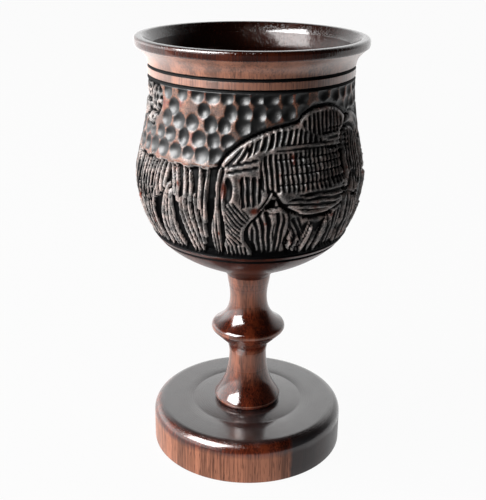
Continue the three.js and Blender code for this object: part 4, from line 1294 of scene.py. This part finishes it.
class GOBLET_OT_bowl(bpy.types.Operator):
    """Turn the bowl, carve its outside and score the lines above and below the carving"""
    bl_idname = "goblet.bowl"
    bl_label = "Bowl"

    def execute(self, context):
        s = context.scene.goblet_bowl
        base = BOWL_LOW.z
        underside = base + s.underside_height
        belly = underside + s.lower_belly_height
        neck = belly + s.upper_belly_height
        lip_flare = neck + s.neck_height
        lip_rise = s.lip_round * math.sin(math.radians(-LIP_DEGREES[0]))
        lip_centre = (s.lip_radius - s.lip_round, lip_flare + s.lip_flare_height + lip_rise)
        lip = squared_arc(lip_centre, s.lip_round, *LIP_DEGREES, 4 * ROUND_STEPS)
        belly_start, widest = (s.underside_radius, underside), (s.belly_radius, belly)
        outside = outline(
            sweep((s.bottom_radius, base), belly_start, UNDERSIDE_BEND, CURVE_STEPS),
            sweep(belly_start, widest, LOWER_BELLY_BEND, 4 * CURVE_STEPS),
            sweep(widest, (s.neck_radius, neck), UPPER_BELLY_BEND, 4 * CURVE_STEPS),
            sweep((s.neck_radius, lip_flare), lip[0], LIP_FLARE_BEND, ROUND_STEPS),
        )
        lowest, lower = underside + s.lower_score, underside + s.lower_edge
        upper, highest = neck + s.upper_edge, neck + s.upper_score
        half = s.score_width / 2
        skin = outline(
            score_side(outside, lower, s, 1),
            even_rows(between(outside, lower + half, upper - half), context.scene.goblet_carving.row_spacing),
            score_side(outside, upper, s, -1)[::-1],
        )
        mortise_top = base + s.mortise_depth
        below = outline(
            [(0, mortise_top), (s.mortise_radius, mortise_top), (s.mortise_radius, base)],
            between(outside, base, lowest - half),
            score_side(outside, lowest, s, -1)[::-1],
            score_side(outside, lowest, s, 1),
            score_side(outside, lower, s, -1)[::-1],
        )
        inner_neck = (s.neck_radius - s.wall_at_neck, lip_flare)
        inner_belly = (s.belly_radius - s.wall_at_belly, belly + s.inner_belly_rise)
        above = outline(
            score_side(outside, upper, s, 1),
            score_side(outside, highest, s, -1)[::-1],
            score_side(outside, highest, s, 1),
            between(outside, highest + half, lip[0][1]),
            lip,
            sweep(lip[-1], inner_neck, INNER_LIP_BEND, CURVE_STEPS),
            sweep(inner_neck, inner_belly, INNER_NECK_BEND, ROUND_STEPS),
            sweep(inner_belly, (0, base + s.floor_height), INNER_FLOOR_BEND, CURVE_STEPS),
        )
        bm = bmesh.new()
        spin_outline(bm, skin, CARVED_STEPS)
        carve_skin(bm, skin, outside, lower, context.scene.goblet_carving)
        spin_outline(bm, below, TURNED_STEPS)
        spin_outline(bm, above, TURNED_STEPS)
        for seam, side in ((lower, 1), (upper, -1)):
            near_rim = rim_of(bm, seam + side * s.score_floor / 2)
            far_rim = rim_of(bm, seam - side * s.score_floor / 2)
            bmesh.ops.bridge_loops(bm, edges=near_rim + far_rim)
        scores = (lowest, lower, upper, highest)
        for face in bm.faces:
            face.material_index = bowl_surface(face, outside, neck, scores, SCORE_BLACKENED * half)
        colours = context.scene.goblet_colours
        finish_piece(bm, "bowl", [
            soaked_hardwood(colours, "soaked_hardwood", INSIDE_GLOSS, INSIDE_DULLNESS),
            carved_hardwood(colours, "stained_carving", FIGURE_FINISH),
            carved_hardwood(colours, "gouged_carving", SCOOP_FINISH),
            blackened_groove(colours),
            brushed_hardwood(colours),
            soaked_hardwood(colours, "polished_lip", LIP_GLOSS, LIP_DULLNESS),
        ])
        return {"FINISHED"}


CAMERA_PLACE = Vector((-2.22, -304.9, 191.4)) * MM
CAMERA_PITCH, CAMERA_ROLL = 20.81, 0.64
SENSOR = 36.0
NEAREST_SEEN = 10 * MM
FLOOR_RADIUS, FLOOR_SIDES = 6.0, 64
PAPER = 0.9
# The light that the floor gives the goblet fades from under it towards the camera, and grows to the left.
FLOOR_BRIGHT, FLOOR_DIM = -60 * MM, -130 * MM
FLOOR_LIGHT, FLOOR_SHADE = 1.15, 0.15
FLOOR_LEFT, FLOOR_MIDDLE = -150 * MM, -40 * MM
# Lamps: azimuth and elevation in degrees as seen from the goblet, width and height, and distance.
WINDOW = (-57, 40, 0.64, 0.66, 0.9)
SIDE_LIGHT = (-71, 2, 1.2, 0.15, 1.0)
AIM = Vector((0, 0, 80)) * MM
# Shares of a direction: the room turns dark towards the ceiling and behind the camera, and has a
# low bright wall at the left.
CEILING_FROM, CEILING_TO = 0.5, 0.8
BACKDROP_FROM, BACKDROP_TO = 0.2, 0.7
WALL_FROM, WALL_TO = -0.9, -0.3
WALL_HIGH, WALL_TOP = 0.3, 0.6
SMOOTH = {"interpolation_type": "SMOOTHSTEP"}


def ray_strength(add, soft, sheen):
    """White for the camera, one strength for what shows in gloss, and another for soft light."""
    path = add("LightPath", {}).node.outputs
    gloss = add("Math", {"operation": "MAXIMUM", 0: path["Is Glossy Ray"],
                         1: path["Is Transmission Ray"]})
    lit = add("Mix", {"data_type": "FLOAT", 0: gloss, NUMBER_A: soft, NUMBER_B: sheen})
    return add("Mix", {"data_type": "FLOAT", 0: path["Is Camera Ray"], NUMBER_A: lit, NUMBER_B: 1.0})


def white_paper(settings):
    """White paper that glows a little, so that it stays white and keeps only a soft shadow."""
    material, add = new_material("white_paper")
    place = add("TexCoord", {}, "Object")
    split = add("SeparateXYZ", {"Vector": place}).node.outputs
    glow = add("MapRange", {
        **SMOOTH, "From Min": FLOOR_DIM, "From Max": FLOOR_BRIGHT, "To Min": FLOOR_SHADE,
        "To Max": FLOOR_LIGHT, "Value": split["Y"]})
    left = add("MapRange", {
        **SMOOTH, "From Min": FLOOR_LEFT, "From Max": FLOOR_MIDDLE, "To Min": settings.floor_left,
        "To Max": 1.0, "Value": split["X"]})
    soft = add("Math", {"operation": "MULTIPLY", 0: glow, 1: settings.floor_bounce})
    sheen = add("Math", {"operation": "MULTIPLY", 0: glow, 1: left})
    paper = add("BsdfDiffuse", {"Color": grey(PAPER)})
    white = add("Emission", {"Color": grey(1.0), "Strength": ray_strength(add, soft, sheen)})
    mixed = add("MixShader", {0: settings.floor_glow, 1: paper, 2: white})
    add("OutputMaterial", {"Surface": mixed})
    return material


def make_floor(settings):
    """A wide floor of white paper."""
    bm = bmesh.new()
    bmesh.ops.create_circle(bm, cap_ends=True, radius=FLOOR_RADIUS, segments=FLOOR_SIDES)
    floor = add_mesh(bm, "floor", [white_paper(settings)])


def make_world(settings):
    """White for the camera, a white backdrop and a dark room in reflections, and a soft ambient light."""
    world = bpy.data.worlds.new("studio")
    bpy.context.scene.world = world
    add = node_adder(world)
    direction = add("TexCoord", {}, "Generated")
    split = add("SeparateXYZ", {"Vector": direction}).node.outputs
    backdrop = add("MapRange", {
        **SMOOTH, "From Min": BACKDROP_FROM, "From Max": BACKDROP_TO, "To Min": settings.room,
        "To Max": settings.backdrop, "Value": split["Y"]})
    ceiling = add("MapRange", {
        **SMOOTH, "From Min": CEILING_FROM, "From Max": CEILING_TO, "To Min": 1.0, "To Max": settings.room,
        "Value": split["Z"]})
    behind = add("Math", {"operation": "MULTIPLY", 0: backdrop, 1: ceiling})
    left = add("MapRange", {
        **SMOOTH, "From Min": WALL_FROM, "From Max": WALL_TO, "To Min": settings.wall, "To Max": 0.0,
        "Value": split["X"]})
    low = add("MapRange", {
        **SMOOTH, "From Min": WALL_HIGH, "From Max": WALL_TOP, "To Min": 1.0, "To Max": 0.0,
        "Value": split["Z"]})
    wall = add("Math", {"operation": "MULTIPLY", 0: left, 1: low})
    room = add("Math", {"operation": "MAXIMUM", 0: behind, 1: wall})
    soft = add("Math", {"operation": "MULTIPLY", 0: room, 1: settings.ambient})
    strength = ray_strength(add, soft, room)
    background = add("Background", {"Color": grey(1.0), "Strength": strength})
    add("OutputWorld", {"Surface": background})


def make_lamp(name, place, power):
    """A rectangular soft lamp that points at the goblet."""
    azimuth, elevation, width, height, distance = place
    light = bpy.data.lights.new(name, "AREA")
    light.shape = "RECTANGLE"
    light.size, light.size_y = width, height
    light.energy = power
    lamp = add_object(name, light)
    a, e = math.radians(azimuth), math.radians(elevation)
    towards = Vector((math.sin(a) * math.cos(e), -math.cos(a) * math.cos(e), math.sin(e)))
    lamp.location = AIM + towards * distance
    lamp.rotation_euler = (-towards).to_track_quat("-Z", "Y").to_euler()
    return lamp


def make_camera(settings):
    """The camera, where the photograph was taken from."""
    data = bpy.data.cameras.new("camera")
    data.sensor_width = SENSOR
    data.lens = settings.lens
    data.clip_start = NEAREST_SEEN
    camera = add_object("camera", data)
    camera.location = CAMERA_PLACE
    turn = Euler((math.radians(90 - CAMERA_PITCH), 0, 0)).to_matrix()
    roll = Euler((0, 0, math.radians(CAMERA_ROLL))).to_matrix()
    camera.rotation_euler = (turn @ roll).to_euler()
    bpy.context.scene.camera = camera


class GOBLET_OT_stage(bpy.types.Operator):
    """Set up the camera, the floor, the window light and the white surroundings"""
    bl_idname = "goblet.stage"
    bl_label = "Stage"

    def execute(self, context):
        settings = context.scene.goblet_stage
        make_camera(settings)
        make_floor(settings)
        make_world(settings)
        make_lamp("window", WINDOW, settings.window_power).visible_diffuse = False
        make_lamp("side_light", SIDE_LIGHT, settings.side_power).visible_glossy = False
        context.scene.view_settings.view_transform = "Standard"
        return {"FINISHED"}


class GOBLET_PT_panel(bpy.types.Panel):
    """Sizes, colours and the steps that make the goblet"""
    bl_idname = "GOBLET_PT_panel"
    bl_label = "Carved Goblet"
    bl_space_type = "VIEW_3D"
    bl_region_type = "UI"
    bl_category = "Goblet"

    def draw(self, context):
        for operator in OPERATORS:
            self.layout.operator(operator.bl_idname)
        for name, group in GROUPS.items():
            box = self.layout.box()
            box.label(text=group.__doc__)
            for field in group.__annotations__:
                box.prop(getattr(context.scene, name), field)


GROUPS = {
    "goblet_foot": FootSizes,
    "goblet_stem": StemSizes,
    "goblet_bowl": BowlSizes,
    "goblet_carving": CarvingSizes,
    "goblet_colours": GobletColours,
    "goblet_stage": StageSettings,
}
OPERATORS = (GOBLET_OT_stage, GOBLET_OT_foot, GOBLET_OT_stem, GOBLET_OT_bowl)
CLASSES = (*GROUPS.values(), *OPERATORS, GOBLET_PT_panel)


def register():
    for cls in CLASSES:
        bpy.utils.register_class(cls)
    for name, group in GROUPS.items():
        setattr(bpy.types.Scene, name, PointerProperty(type=group))


def unregister():
    for name in GROUPS:
        delattr(bpy.types.Scene, name)
    for cls in reversed(CLASSES):
        bpy.utils.unregister_class(cls)


def main():
    register()
    bpy.ops.goblet.stage()
    bpy.ops.goblet.foot()
    bpy.ops.goblet.stem()
    bpy.ops.goblet.bowl()


if __name__ == "__main__":
    main()
